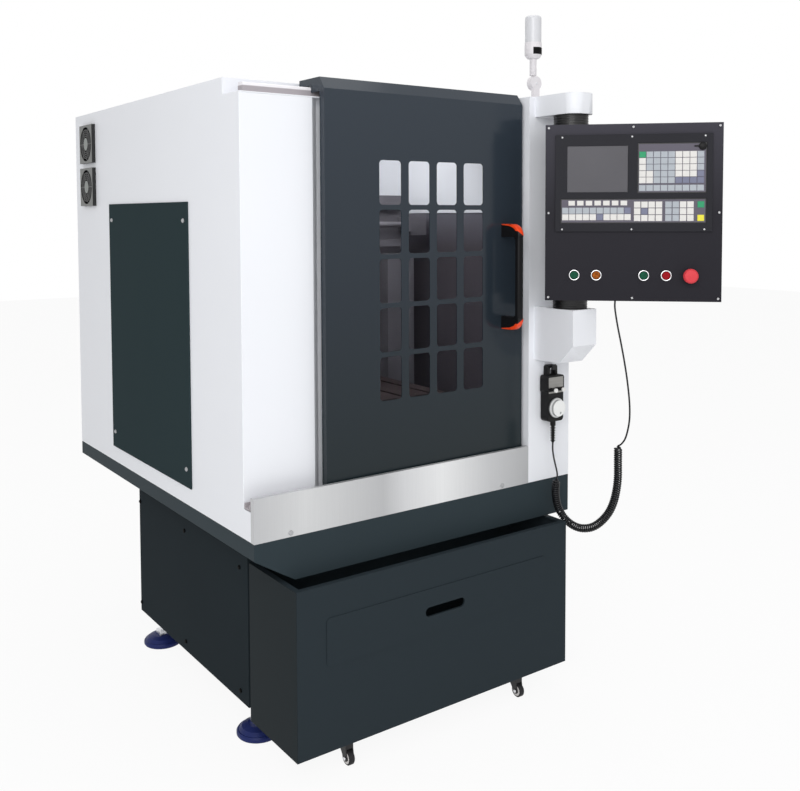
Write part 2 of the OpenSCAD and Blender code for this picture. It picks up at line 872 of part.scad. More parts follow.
// Channel that a guide carriage leaves round its rail, seen along the rail
module carriage(w, low, high) {
    difference() {
        translate([-w, low]) square([2 * w, high - low]);
        translate([-guide_w / 2 - guide_clear, low - eps])
            square([guide_w + 2 * guide_clear, guide_h + guide_clear - low + eps]);
    }
}

// Hollow casting with guide rails, table screw, bearings and motor
module machine_bed() {
    wall = 40;
    x0 = mid_x - bed_w / 2;
    screw_z = bed_z + 30;
    y1 = bed_y + bed_d;
    color(c_cast) at_origin() {
        difference() {
            block([x0, bed_y, deck_z], [x0 + bed_w, y1, bed_z]);
            block([x0 + wall, bed_y + wall, deck_z - eps], [x0 + bed_w - wall, y1 - wall, bed_z - wall]);
        }
        for (side = [-1, 1]) translate([mid_x + side * y_gauge / 2, 0, bed_z])
            block([-guide_w / 2, bed_y + 5, -eps], [guide_w / 2, y1 - 5, guide_h]);
        for (y = [bed_y + 15, y1 - 105])
            block([mid_x - 30, y, bed_z - eps], [mid_x + 30, y + 30, bed_z + 55]);
        translate([mid_x, 0, screw_z]) rod_y(screw_r, bed_y + 20, y1 - 80);
        block([mid_x - 38, y1 - 75, bed_z - eps], [mid_x + 38, y1 - 2, bed_z + 76]);
    }
}

// Portal with guide rails, cross screw and motor
module gantry() {
    x1 = body_w - post_x;
    gauge = 126;
    low = (beam_low + beam_top - gauge) / 2;
    screw_y = beam_y - 25;
    screw_z = (beam_low + beam_top) / 2;
    color(c_cast) at_origin() {
        both_sides() block([post_x, post_y, deck_z], [post_x + post_w, post_y + post_d, beam_low + eps]);
        block([post_x, beam_y, beam_low], [x1, beam_y + beam_d, beam_top]);
        for (z = [low, low + gauge])
            block([post_x + 30, beam_y - rail_proud, z - guide_w / 2],
                [x1 - 30, beam_y + eps, z + guide_w / 2]);
        translate([0, screw_y, screw_z]) rod_x(screw_r, post_x + 70, x1 - 20);
        for (x = [post_x + 50, x1 - 40])
            block([x, beam_y - 50, screw_z - 25], [x + 30, beam_y + eps, screw_z + 25]);
        block([x1 - eps, beam_y - 20, screw_z - 38], [x1 + 70, beam_y + 56, screw_z + 38]);
    }
}

// Slotted table on four carriages with the screw nut
module work_table() {
    x0 = mid_x - table_w / 2;
    screw_z = bed_z + 30;
    slot_pitch = table_w / table_slots;
    color(c_cast) at_origin() {
        difference() {
            block([x0, table_y, table_z], [x0 + table_w, table_y + table_d, table_z + table_t]);
            for (k = [0 : table_slots - 1]) translate([x0 + (k + 0.5) * slot_pitch, 0, table_z + table_t]) {
                block([-7, table_y - eps, -26], [7, table_y + table_d + eps, eps]);
                block([-13, table_y - eps, -26], [13, table_y + table_d + eps, -14]);
            }
        }
        for (side = [-1, 1]) for (y = [table_y + 120, table_y + table_d - 180])
            translate([mid_x + side * y_gauge / 2, 0, bed_z])
                along(y, y + 60) carriage(32, 8, table_rise + eps);
        difference() {
            block([mid_x - 30, table_y + 220, bed_z + 6], [mid_x + 30, table_y + 260, table_z + eps]);
            translate([mid_x, 0, screw_z]) rod_y(screw_r + seat_gap, table_y + 200, table_y + 300);
        }
    }
}

// Cross slide with its nut, the ram's carriages, the lifting screw and motor
module saddle() {
    gauge = 126;
    low = (beam_low + beam_top - gauge) / 2;
    screw_z = (beam_low + beam_top) / 2;
    x0 = mid_x - saddle_w / 2;
    back = saddle_y + saddle_t;
    ram_screw_y = saddle_y - ram_gap / 2;
    color(c_cast) at_origin() {
        block([x0, saddle_y, beam_low - 10], [x0 + saddle_w, back, beam_top + 10]);
        for (z = [low, low + gauge]) for (x = [x0, x0 + saddle_w - 60]) difference() {
            block([x, back - eps, z - 24], [x + 60, beam_y - 4, z + 24]);
            block([x - eps, beam_y - rail_proud - guide_clear, z - guide_w / 2 - guide_clear],
                [x + 60 + eps, beam_y, z + guide_w / 2 + guide_clear]);
        }
        difference() {
            block([mid_x - 20, back - eps, screw_z - 22], [mid_x + 20, beam_y - 6, screw_z + 22]);
            translate([0, beam_y - 25, screw_z]) rod_x(screw_r + seat_gap, x0, x0 + saddle_w);
        }
        for (side = [-1, 1]) for (z = [beam_low, beam_low + 90])
            translate([mid_x + side * z_gauge / 2, saddle_y, z]) mirror([0, 1, 0])
                linear_extrude(60) difference() {
                    translate([-26, -eps]) square([52, 36 + eps]);
                    translate([-guide_w / 2 - guide_clear, ram_gap - 18 - guide_clear])
                        square([guide_w + 2 * guide_clear, 30]);
                }
        block([mid_x - 60, saddle_y, beam_top], [mid_x + 60, back, shelf_z]);
        block([mid_x - 60, ram_screw_y - 45, shelf_z - 14], [mid_x + 60, back, shelf_z]);
        translate([mid_x, ram_screw_y, ram_z0 - 10]) cylinder(r = 8, h = shelf_z - ram_z0);
        block([mid_x - 40, ram_screw_y - 40, shelf_z - eps], [mid_x + 40, ram_screw_y + 40, shelf_z + 95]);
    }
}

// Vertical slide with its rails, nut and the spindle clamp
module z_ram() {
    x0 = mid_x - ram_w / 2;
    back = ram_y + ram_t;
    clamp_z = [ram_z0 + clamp_low, ram_z0 + clamp_high];
    nut_z = ram_z0 + 60;
    color(c_cast) at_origin() {
        block([x0, ram_y, ram_z0], [x0 + ram_w, back, ram_z1]);
        for (side = [-1, 1]) translate([mid_x + side * z_gauge / 2, back, 0])
            block([-guide_w / 2, -eps, ram_z0 + 10], [guide_w / 2, 18, ram_z1 - 10]);
        difference() {
            block([mid_x - 20, back - eps, nut_z], [mid_x + 20, back + ram_gap - 4, nut_z + 40]);
            translate([mid_x, saddle_y - ram_gap / 2, nut_z - eps]) cylinder(r = 8 + seat_gap, h = 41 + eps);
        }
        difference() {
            block([mid_x - 72, spindle_y - 20, clamp_z[0]], [mid_x + 72, ram_y + eps, clamp_z[1]]);
            translate([mid_x, spindle_y, clamp_z[0] - eps])
                cylinder(r = spindle_d / 2 + run_clear, h = clamp_z[1] - clamp_z[0] + 2 * eps, $fn = 96);
        }
    }
}

// Spindle housing with the nose bore
module spindle_motor() {
    r = spindle_d / 2;
    color(c_steel) at_origin() translate([mid_x, spindle_y, spindle_z]) difference() {
        rotate_extrude($fn = 96) polygon([[0, 0], [r * 0.6, 0], [r * 0.7, 20], [r, 30], [r, spindle_l - 6],
            [r - 6, spindle_l], [0, spindle_l]]);
        translate([0, 0, -eps]) cylinder(r = 12 + run_clear, h = 40 + eps);
    }
}

// Turning nose with shaft and collet nut
module spindle_nose() {
    color(c_steel) at_origin() translate([mid_x, spindle_y, spindle_z]) difference() {
        union() {
            translate([0, 0, -20]) cylinder(r = 12, h = 58);
            rotate_extrude() polygon([[0, -52], [14, -52], [21, -44], [21, -20], [18, -18], [18, -seat_gap],
                [0, -seat_gap]]);
        }
        translate([0, 0, -53]) cylinder(r = 3, h = 30);
    }
}

// Folded door with window grid, bevelled hood, guide fin and hangers
module door_shell() {
    s = door_s;
    y1 = door_y + door_t;
    hood_y = door_y + hood_d;
    notch = [rail_y - rail_w / 2 - 6, rail_y + rail_w / 2 + 6];
    cheek_low = bevel_z - 6;
    rail_top = ledge_z + rail_h;
    fin_y = fixed_y - 4 - track_w / 2;
    color(c_door) at_origin() {
        along(door_y, door_y + s) difference() {
            translate([door_x, door_z]) square([door_w, bevel_z - door_z]);
            for (i = [0 : win_cols - 1]) for (k = [0 : win_rows - 1])
                translate([win_x0 + i * win_px, win_top - win_h - k * win_pz]) rounded(win_w, win_h, win_r);
        }
        for (x = [door_x, door_x1 - s]) {
            block([x, door_y, door_z], [x + s, y1, bevel_z]);
            across(x, x + s) polygon([[door_y, cheek_low], [door_y, bevel_z], [y1, hood_z], [hood_y, hood_z],
                [hood_y, hood_z - 18], [notch[1], hood_z - 18],
                [notch[1], hood_z - 12], [notch[0], hood_z - 12],
                [notch[0], cheek_low]]);
        }
        block([door_x, door_y, door_z], [door_x1, y1, door_z + s]);
        across(door_x, door_x1) polygon([
            [door_y, bevel_z], [y1, hood_z], [hood_y, hood_z], [hood_y, hood_z - s],
            [y1 + s * 0.4, hood_z - s], [door_y + s, bevel_z - 1], [door_y, bevel_z - 1]]);
        block([door_x + 20, fin_y - 2, deck_z + track_seat + 8], [door_x1 - 20, fin_y + 2, door_z + eps]);
        for (x = hanger_x) translate([x - hanger_w / 2, 0, 0]) {
            block([0, notch[0] - 2, rail_top + seat_gap], [hanger_w, notch[1] + 2, hood_z - s + eps]);
            for (y = [notch[0] - 2, notch[1] + 2 - hanger_lip])
                block([0, y, rail_top - 12], [hanger_w, y + hanger_lip, rail_top + 1]);
        }
    }
}

// Tinted pane behind the windows
module door_pane() {
    w = (win_cols - 1) * win_px + win_w;
    h = (win_rows - 1) * win_pz + win_h;
    y0 = door_y + door_s;
    color([0.25, 0.27, 0.30, 0.5]) at_origin()
        block([win_x0 - pane_edge, y0, win_top - h - pane_edge],
            [win_x0 + w + pane_edge, y0 + pane_t, win_top + pane_edge]);
}

// Side outline of one handle arm, from the door out to the bend
module handle_arm() {
    arm = handle_out - bend_r;
    square([arm, grip_t]);
    translate([arm, bend_r]) intersection() {
        difference() {
            circle(bend_r);
            circle(bend_r - grip_t);
        }
        translate([0, -bend_r]) square(bend_r);
    }
}

// Zone of that outline that the coloured cap takes
module handle_cap() {
    arm = handle_out - bend_r;
    inner = [for (step = [[58, 0.53], [21, 0.42], [0, 0.19]]) let (r = bend_r - step[1] * grip_t)
        [arm + cos(step[0]) * r, bend_r - sin(step[0]) * r]];
    polygon(concat([[-1, -1], [-1, grip_t * 0.14], [arm - 4, grip_t * 0.36]], inner,
        [[handle_out + 1, bend_r], [handle_out + 1, -1]]));
}

// Places an outline at the lower end of the handle and mirrors it to the upper end
module at_handle_ends(half) {
    at_origin() for (up = [0, 1]) translate([0, 0, handle_z0 + up * handle_l]) mirror([0, 0, up])
        translate([0, door_y, 0]) across(handle_x - half, handle_x + half) mirror([1, 0]) children();
}

// Moulded grip with its two arms
module door_handle() {
    color(c_black) {
        at_origin() translate([handle_x - handle_w / 2, door_y - handle_out, handle_z0 + bend_r])
            linear_extrude(handle_l - 2 * bend_r) rounded(handle_w, grip_t, 5);
        at_handle_ends(handle_w / 2) difference() {
            handle_arm();
            handle_cap();
        }
    }
}

// Coloured caps on the outer bends
module handle_ends() {
    color([0.92, 0.28, 0.12]) at_handle_ends(handle_w / 2) intersection() {
        handle_arm();
        handle_cap();
    }
}

// Upper carrier with round front corners and the swivel bore
module upper_arm() {
    color(c_white) at_origin() difference() {
        translate([arm_x, -arm_out, arm_z]) linear_extrude(arm_h) {
            rounded(arm_w, arm_out, arm_r);
            translate([0, arm_r]) square([arm_w, arm_out - arm_r]);
        }
        translate([pivot_x, -pivot_out, arm_z - eps]) cylinder(r = pin_r + run_clear, h = pin_l + 2 + eps);
    }
}

// Lower carrier with a chamfered underside
module lower_bracket() {
    color(c_white) at_origin() difference() {
        across(arm_x, arm_x + arm_w) polygon([[0, bracket_z], [-arm_out + bracket_cut, bracket_z],
            [-arm_out, bracket_z + bracket_cut], [-arm_out, bracket_top], [0, bracket_top]]);
        translate([pivot_x, -pivot_out, bracket_top - pin_l - 2])
            cylinder(r = pin_r + run_clear, h = pin_l + 2 + eps);
    }
}

// Sheet housing, open to the front, with collars and swivel pins
module panel_box() {
    front = face_t - face_out;
    t = box_t;
    color(c_black) on_panel() {
        difference() {
            translate([0, 0, box_z0]) linear_extrude(box_z1 - box_z0) polygon([
                [box_x0, front], [box_x1, front],
                [box_x1, box_back - box_cut], [box_x1 - box_cut, box_back], [box_x0 + box_cut, box_back],
                [box_x0, box_back - box_cut]]);
            translate([0, 0, box_z0 + t]) linear_extrude(box_z1 - box_z0 - 2 * t) polygon([
                [box_x0 + t, front - eps], [box_x1 - t, front - eps], [box_x1 - t, box_back - box_cut - t],
                [box_x1 - box_cut - t, box_back - t], [box_x0 + box_cut + t, box_back - t],
                [box_x0 + t, box_back - box_cut - t]]);
        }
        translate([0, 0, box_z1 - eps]) cylinder(d = collar_d, h = arm_z - seat_gap - box_z1 + eps);
        translate([0, 0, arm_z - 1]) cylinder(r = pin_r, h = pin_l + 1);
        translate([0, 0, bracket_top + seat_gap])
            cylinder(d = collar_d, h = box_z0 - bracket_top - seat_gap + eps);
        translate([0, 0, bracket_top - pin_l]) cylinder(r = pin_r, h = pin_l + 1);
    }
}

module at_buttons(list) {
    for (u = list) translate([u - face_in, -face_out, button_z]) rotate([90, 0, 0]) children();
}

// Face plate with cut-outs, edge screws and the button rings
module face_plate() {
    edge = 9;
    left = -face_in;
    bore = cap_d / 2 + seat_gap;
    color(c_plate) on_panel() {
        difference() {
            union() {
                block([left, -face_out, face_z], [left + face_w, -face_out + face_t, face_top]);
                at_buttons(button_x) translate([0, 0, -eps]) cylinder(d = ring_d, h = ring_h + eps);
            }
            block([bezel_x + control_edge - 1, -face_out - eps, bezel_top - bezel_h + control_edge - 1],
                [bezel_x + bezel_w - control_edge + 1, -face_out + face_t + eps,
                    bezel_top - control_edge + 1]);
            at_buttons(button_x) translate([0, 0, -face_t - eps])
                cylinder(r = bore, h = face_t + ring_h + 2 * eps);
        }
        for (x = [edge, face_w / 2, face_w - edge]) for (z = [face_z + edge, face_top - edge])
            translate([left + x, -face_out + eps, z]) rotate([90, 0, 0]) cylinder(d = 8, h = 2 + eps);
        for (x = [edge, face_w - edge]) translate([left + x, -face_out + eps, (face_z + face_top) / 2])
            rotate([90, 0, 0]) cylinder(d = 8, h = 2 + eps);
    }
}

// Key grid: low left corner, columns, rows, spacing and key size
module keys(x, top, cols, rows, px, pz, w, h) {
    for (i = [0 : cols - 1]) for (k = [0 : rows - 1])
        translate([x + i * px, top - h - k * pz]) square([w, h]);
}

// Bezel and case of the controller, with recessed fields of keys
module controller() {
    y0 = -face_out - bezel_t;
    low = bezel_top - bezel_h;
    key_y = y0 + keys_deep;
    color(c_plate) on_panel() {
        difference() {
            block([bezel_x, y0, low], [bezel_x + bezel_w, -face_out, bezel_top]);
            block([screen_x, y0 - eps, screen_top - screen_h],
                [screen_x + screen_w, y0 + screen_deep, screen_top]);
            block([upper_keys_x, y0 - eps, upper_keys_top - 138],
                [upper_keys_x + 184, key_y, upper_keys_top]);
            block([lower_keys_x, y0 - eps, lower_keys_top - 69],
                [lower_keys_x + 391, key_y, lower_keys_top]);
        }
        block([bezel_x + control_edge, -face_out - eps, low + control_edge],
            [bezel_x + bezel_w - control_edge, -face_out + control_d, bezel_top - control_edge]);
        along(key_y - key_h, key_y + eps) {
            keys(upper_keys_x + 5, upper_keys_top - 24, 9, 5, 19.2, 17.5, 17.4, 16);
            keys(upper_keys_x + 5, upper_keys_top - 115, 9, 1, 19.2, 17.5, 17.4, 16);
            keys(lower_keys_x + 22, lower_keys_top - 6, 7, 1, 23.5, 18, 17.5, 13);
            keys(lower_keys_x + 5, lower_keys_top - 25, 10, 2, 18.7, 18, 17, 16.5);
            keys(lower_keys_x + 199, lower_keys_top - 9, 4, 3, 19.3, 18.3, 17, 16.5);
            keys(lower_keys_x + 282, lower_keys_top - 9, 4, 3, 19.3, 18.3, 17, 16.5);
            keys(lower_keys_x + 367, lower_keys_top - 9, 1, 2, 19, 36.6, 17.5, 16.5);
        }
    }
}

// Screen glass in its recess
module screen() {
    y1 = -face_out - bezel_t + screen_deep;
    color([0.40, 0.40, 0.42]) on_panel()
        block([screen_x + 0.2, y1 - 1.5, screen_top - screen_h + 0.2],
            [screen_x + screen_w - 0.2, y1, screen_top - 0.2]);
}

// Cable gland under the panel
module cord_gland() {
    color(c_black) on_panel() translate([plug_x, plug_y, 0]) {
        translate([0, 0, box_z0 - face_lip]) cylinder(r = 9, h = face_lip);
        translate([0, 0, gland_z]) cylinder(r = 6, h = box_z0 - gland_z);
    }
}

// Button cap with its plunger
module button(u) {
    on_panel() at_buttons([u]) {
        translate([0, 0, -stem_l]) cylinder(d = 12, h = stem_l);
        rotate_extrude() polygon([[0, -1], [cap_d / 2, -1], [cap_d / 2, ring_h + cap_out - 2],
            [cap_d / 2 - 2, ring_h + cap_out], [0, ring_h + cap_out]]);
    }
}
module button_start() { color([0.10, 0.50, 0.35]) button(button_x[0]); }
module button_hold() { color([0.60, 0.30, 0.12]) button(button_x[1]); }
module button_power_on() { color([0.10, 0.50, 0.35]) button(button_x[2]); }
module button_power_off() { color([0.65, 0.08, 0.10]) button(button_x[3]); }

// Mushroom head with its plunger
module emergency_stop() {
    r = stop_d / 2;
    color([0.90, 0.25, 0.28]) on_panel() at_buttons([button_x[4]]) {
        translate([0, 0, -stem_l]) cylinder(d = cap_d, h = stem_l + 18);
        rotate_extrude() {
            polygon([[0, 16], [r - 2, 16], [r, 18], [r, 24], [r - 4, 30], [0, 32]]);
        }
    }
}

// Lamp foot with one disc of the folding joint
module lamp_foot() {
    z = body_top + elbow_z;
    color(c_white) at_origin() translate([lamp_x, 0, 0]) {
        translate([0, lamp_y, body_top]) cylinder(r = 32, h = 5);
        difference() {
            union() {
                translate([-12, elbow_y - disc_t, body_top]) cube([24, disc_t, elbow_z]);
                translate([0, 0, z]) rod_y(elbow_d / 2, elbow_y - disc_t, elbow_y);
            }
            translate([0, 0, z]) rod_y(4 + run_clear, elbow_y - disc_t - eps, elbow_y + eps);
        }
    }
}

// Other disc, pin, neck and base
module lamp_stem() {
    z = body_top + elbow_z;
    base_z = z + neck_h;
    y0 = elbow_y + seat_gap;
    color(c_white) at_origin() translate([lamp_x, 0, 0]) {
        translate([0, 0, z]) rod_y(elbow_d / 2, y0, y0 + disc_t);
        translate([0, 0, z]) rod_y(4, elbow_y - disc_t, y0 + 1);
        translate([0, y0 + disc_t / 2, z]) cylinder(d = disc_t, h = elbow_d / 2 + 4);
        translate([0, y0 + disc_t / 2, z + elbow_d / 2 + 3]) cylinder(r = 10, h = neck_h - elbow_d / 2 - 2);
        translate([0, y0 + disc_t / 2, base_z]) rotate_extrude() polygon([[0, 0], [lamp_d * 0.36, 0],
            [lamp_d / 2, 10], [lamp_d / 2, lamp_base_h], [0, lamp_base_h]]);
    }
}

// Clear dome of the lamp
module lamp_lens() {
    r = lamp_d / 2 - 1;
    y = elbow_y + seat_gap + disc_t / 2;
    color([0.95, 0.95, 0.95]) at_origin() translate([lamp_x, y, body_top + elbow_z + neck_h + lamp_base_h])
        rotate_extrude() {
            square([r, lens_h - 8]);
            translate([0, lens_h - 8]) square([r - 8, 8]);
            translate([r - 8, lens_h - 8]) intersection() {
                circle(8);
                square(8);
            }
        }
}

// Hook on the column for the pendant's loop
module pendant_hook() {
    bar_z = pend_top + loop_h - loop_t;
    tip_y = loop_y - 7;
    color(c_black) at_origin() translate([pend_x, 0, 0]) {
        block([-15, -3, bar_z - 14], [15, 0, bar_z + 14]);
        block([-8, tip_y, bar_z - 6], [8, -1, bar_z]);
        block([-8, tip_y, bar_z - 6], [8, tip_y + 4, bar_z + 10]);
    }
}

// Pendant housing with hanging loop and cord boot
module pendant_body() {
    color(c_black) at_origin() translate([pend_x, 0, 0]) {
        difference() {
            along(pend_front, pend_back) {
                translate([3 - pend_w / 2, pend_z]) rounded(pend_w - 6, pend_h, 10);
                translate([-pend_w / 2, pend_z + pend_step]) rounded(pend_w, pend_h - pend_step, 8);
            }
            translate([0, 0, dial_z]) rod_y(5 + run_clear, pend_front - eps, pend_front + 14);
            for (side = [-1, 1]) translate([side * knob_x, 0, knob_z])
                rod_y(3 + run_clear, pend_front - eps, pend_front + 12);
        }
        along(loop_y, pend_back) difference() {
            translate([-loop_w / 2, pend_top - 10]) rounded(loop_w, loop_h + 10, 8);
            translate([loop_t - loop_w / 2, pend_top - 12])
                square([loop_w - 2 * loop_t, loop_h - loop_t + 12]);
        }
        translate([0, boot_y, pend_z - sleeve_l]) cylinder(r = 8, h = sleeve_l + 1);
        translate([0, boot_y, pend_z - relief_l]) cylinder(r1 = 4, r2 = 5, h = relief_l - sleeve_l + 1);
    }
}

// Handwheel with a ring, a cap and a finger recess
module pendant_dial() {
    r = dial_d / 2;
    color([0.80, 0.80, 0.80]) at_origin() translate([pend_x, pend_front - seat_gap, dial_z])
        rotate([90, 0, 0]) difference() {
        union() {
            rotate_extrude() polygon([[0, 0], [r, 0], [r, 4], [r - 2, 6], [r - 5, 6], [r - 5, 14],
                [r - 6.5, 16], [0, 16]]);
            translate([0, 0, -13]) cylinder(r = 5, h = 14);
        }
        translate([4, 15 - r, 13]) cylinder(r = 4, h = 6);
    }
}

// Selector knob with a slim stem and a slotted cap
module selector(side) {
    color([0.85, 0.85, 0.84]) at_origin() translate([pend_x + side * knob_x, pend_front - seat_gap, knob_z])
        rotate([90, 0, 0]) difference() {
        union() {
            translate([0, 0, -11]) cylinder(r = 3, h = 12);
            cylinder(d = knob_d - 3, h = knob_l - 4);
            translate([0, 0, knob_l - 5]) cylinder(d = knob_d, h = 5);
        }
        translate([-0.75, 0, knob_l - 1.5]) cube([1.5, knob_d, 2]);
    }
}
module pendant_knob_left() { selector(-1); }
module pendant_knob_right() { selector(1); }

// Straight stretches of the cord
module cord_straight() {
    color(c_black) at_origin() {
        tube(smooth(cord_upper_route, 3), cord_d, 8);
        tube(smooth(cord_tail_route, 3), cord_d, 8);
    }
}

// Outer form of the curly stretch
module cord_coil() {
    color(c_black) at_origin() tube(smooth(cord_coil_route, 2), coil_d, 12);
}

// Open tank with folded rim, pressed field and finger slot
module tank_body() {
    x0 = stand_inset;
    x1 = tank_x1;
    y0 = -tank_out;
    t = tank_t;
    field_w = x1 - x0 - 2 * field_inset;
    color(c_slate) at_origin() difference() {
        union() {
            block([x0, y0, tank_z], [x1, tank_back, tank_top]);
            along(y0 - field_proud, y0 + eps) translate([x0 + field_inset, tank_mid_z - field_h / 2])
                rounded(field_w, field_h, 12);
        }
        block([x0 + t, y0 + t, tank_z + t], [x1 - t, tank_back - t, tank_top - t]);
        block([x0 + tank_rim, y0 + tank_rim, tank_top - 2 * t],
            [x1 - tank_rim, tank_back - tank_rim, tank_top + t]);
        along(y0 - field_proud - eps, y0 + t + eps) translate([mid_x - slot_l / 2, tank_mid_z - slot_h / 2])
            rounded(slot_l, slot_h, slot_h / 2 - 0.01);
    }
}

module at_casters(y) {
    at_origin() both_sides() translate([stand_inset + caster_x, y, 0]) children();
}

// Two cheeks, leaning back by a given length, and an axle for a wheel below the origin
module fork_legs(top, lean) {
    half = wheel_w / 2 + cheek_gap;
    for (side = [-1, 1]) translate([side * (half + cheek_t / 2) - cheek_t / 2, 0, 0]) across(0, cheek_t) {
        polygon([[lean / 2 - 11, top], [-8, wheel_z], [8, wheel_z], [lean + 11, top]]);
        translate([0, wheel_z]) circle(8);
    }
    translate([0, 0, wheel_z]) rod_x(axle_r, -half - cheek_t, half + cheek_t);
}

// Swivel plates in front, fixed forks behind
module caster_mounts() {
    half = wheel_w / 2 + cheek_gap + cheek_t;
    color(c_black) {
        at_casters(caster_y - tank_out) difference() {
            block([-mount_w / 2, -mount_w / 2 + 8, tank_z - mount_t], [mount_w / 2, mount_w / 2 - 8, tank_z]);
            translate([0, 0, tank_z - mount_t - eps]) cylinder(r = 6 + run_clear, h = mount_t - 1);
        }
        at_casters(rear_caster_y) {
            block([-mount_w / 2, -mount_w / 2 + 8, tank_z - mount_t], [mount_w / 2, mount_w / 2 - 8, tank_z]);
            block([-half, -11, fork_top - 10], [half, 11, tank_z - mount_t + eps]);
            fork_legs(fork_top - 9, 0);
        }
    }
}

// Swivel fork with king pin
module caster_fork() {
    half = wheel_w / 2 + cheek_gap + cheek_t;
    crown_z = wheel_z + wheel_d / 2 + 3;
    translate([0, 0, fork_top - 6]) cylinder(r = 17, h = 6);
    translate([0, 0, fork_top - 1]) cylinder(r = 6, h = mount_t - 2);
    across(-half, half) polygon([[-caster_trail / 2 - 11, crown_z], [-caster_trail / 2 - 11, fork_top - 6],
        [-10, fork_top - 0.5], [11, fork_top - 0.5], [11, crown_z]]);
    translate([0, -caster_trail, 0]) fork_legs(crown_z + eps, caster_trail);
}
module on_swivel(x) {
    at_origin() translate([x, caster_y - tank_out, 0]) children();
}
module caster_fork_left() { color(c_black) on_swivel(stand_inset + caster_x) caster_fork(); }
module caster_fork_right() { color(c_black) on_swivel(tank_x1 - caster_x) caster_fork(); }

// Wheel with a tread and a hub
module wheel(x, y) {
    r = wheel_d / 2;
    w = wheel_w / 2;
    color(c_black) at_origin() translate([x, y, wheel_z]) rotate([0, 90, 0]) rotate_extrude()
        polygon([[axle_r + run_clear, -w], [r * 0.45, -w], [r * 0.5, -w + 2],
            [r * 0.62, -w + 2], [r * 0.66, -w],
            [r - 2, -w], [r, -w + 2], [r, w - 2], [r - 2, w], [r * 0.66, w], [r * 0.62, w - 2],
            [r * 0.5, w - 2], [r * 0.45, w], [axle_r + run_clear, w]]);
}
module wheel_front_left() { wheel(stand_inset + caster_x, caster_y - tank_out - caster_trail); }
module wheel_front_right() { wheel(tank_x1 - caster_x, caster_y - tank_out - caster_trail); }
module wheel_rear_left() { wheel(stand_inset + caster_x, rear_caster_y); }
module wheel_rear_right() { wheel(tank_x1 - caster_x, rear_caster_y); }

stand_frame();
stand_skirt();
foot_pads();
foot_stems();
chassis_tray();
left_panel();
right_panel();
rear_panel();
roof_panel();
front_column();
front_strip();
door_rails();
access_covers();
housing_screws();
fan_frames();
fan_guards();
fan_impeller_upper();
fan_impeller_lower();
cabinet_wall();
machine_bed();
gantry();
work_table();
saddle();
z_ram();
spindle_motor();
spindle_nose();
door_shell();
door_pane();
door_handle();
handle_ends();
upper_arm();
lower_bracket();
panel_box();
face_plate();
controller();
screen();
cord_gland();
button_start();
button_hold();
button_power_on();
button_power_off();
emergency_stop();
lamp_foot();
lamp_stem();
lamp_lens();
pendant_hook();
pendant_body();
pendant_dial();
pendant_knob_left();
pendant_knob_right();
cord_straight();
cord_coil();
tank_body();
caster_mounts();
caster_fork_left();
caster_fork_right();
wheel_front_left();
wheel_front_right();
wheel_rear_left();
wheel_rear_right();
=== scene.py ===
import math

import bpy
from mathutils import Matrix, Vector


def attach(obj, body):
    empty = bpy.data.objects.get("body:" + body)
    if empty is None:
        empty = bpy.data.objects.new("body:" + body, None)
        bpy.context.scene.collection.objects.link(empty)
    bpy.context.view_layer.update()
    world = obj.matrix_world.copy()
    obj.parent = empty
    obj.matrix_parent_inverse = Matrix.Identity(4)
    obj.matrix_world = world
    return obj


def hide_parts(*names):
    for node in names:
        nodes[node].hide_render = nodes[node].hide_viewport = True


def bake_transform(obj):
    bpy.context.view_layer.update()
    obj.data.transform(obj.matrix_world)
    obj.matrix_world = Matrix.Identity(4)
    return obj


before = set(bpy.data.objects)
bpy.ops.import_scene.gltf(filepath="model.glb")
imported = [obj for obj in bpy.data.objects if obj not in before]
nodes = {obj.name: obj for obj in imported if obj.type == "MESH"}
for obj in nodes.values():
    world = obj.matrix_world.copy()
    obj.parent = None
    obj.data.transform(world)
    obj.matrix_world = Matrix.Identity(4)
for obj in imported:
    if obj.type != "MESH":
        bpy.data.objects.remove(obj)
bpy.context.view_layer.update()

# Part frame: the source measures in millimetres from the left side, the chassis front and the floor.
ORIGIN_X = 622.4244
ORIGIN_Y = 445.8477
PIVOT = (953.5, -97.5)
HALF = math.sqrt(0.5)


def at(x, y, z):
    return Vector(((x - ORIGIN_X) / 1000, (y - ORIGIN_Y) / 1000, z / 1000))


def on_panel(x, y, z):
    """Point of the swung panel: x along its face, y into it, both from the swivel axis."""
    return at(PIVOT[0] + HALF * (x + y), PIVOT[1] + HALF * (y - x), z)


# Camera, with the photo's size, lens and centre in pixels
PHOTO_W = 800
PHOTO_H = 791
FOCAL = 953.19
CENTRE = (405.61, 264.75)
SENSOR = 36
HEADING = math.radians(35.906)
PITCH = math.radians(2.967)
ROLL = math.radians(0.172)
cam_data = bpy.data.cameras.new("camera")
cam = bpy.data.objects.new("camera", cam_data)
bpy.context.scene.collection.objects.link(cam)
bpy.context.scene.camera = cam
cam_data.sensor_fit = "HORIZONTAL"
cam_data.sensor_width = SENSOR
cam_data.lens = FOCAL / PHOTO_W * SENSOR
cam_data.shift_x = (PHOTO_W / 2 - CENTRE[0]) / PHOTO_W
cam_data.shift_y = (CENTRE[1] - PHOTO_H / 2) / PHOTO_W
cam_data.clip_end = 100
fwd = Vector((math.sin(HEADING) * math.cos(PITCH), math.cos(HEADING) * math.cos(PITCH), -math.sin(PITCH)))
flat_right = Vector((math.cos(HEADING), -math.sin(HEADING), 0))
flat_down = fwd.cross(flat_right)
right = flat_right * math.cos(ROLL) + flat_down * math.sin(ROLL)
down = flat_down * math.cos(ROLL) - flat_right * math.sin(ROLL)
eye = at(-1012.7, -2015.2, 1381.4)
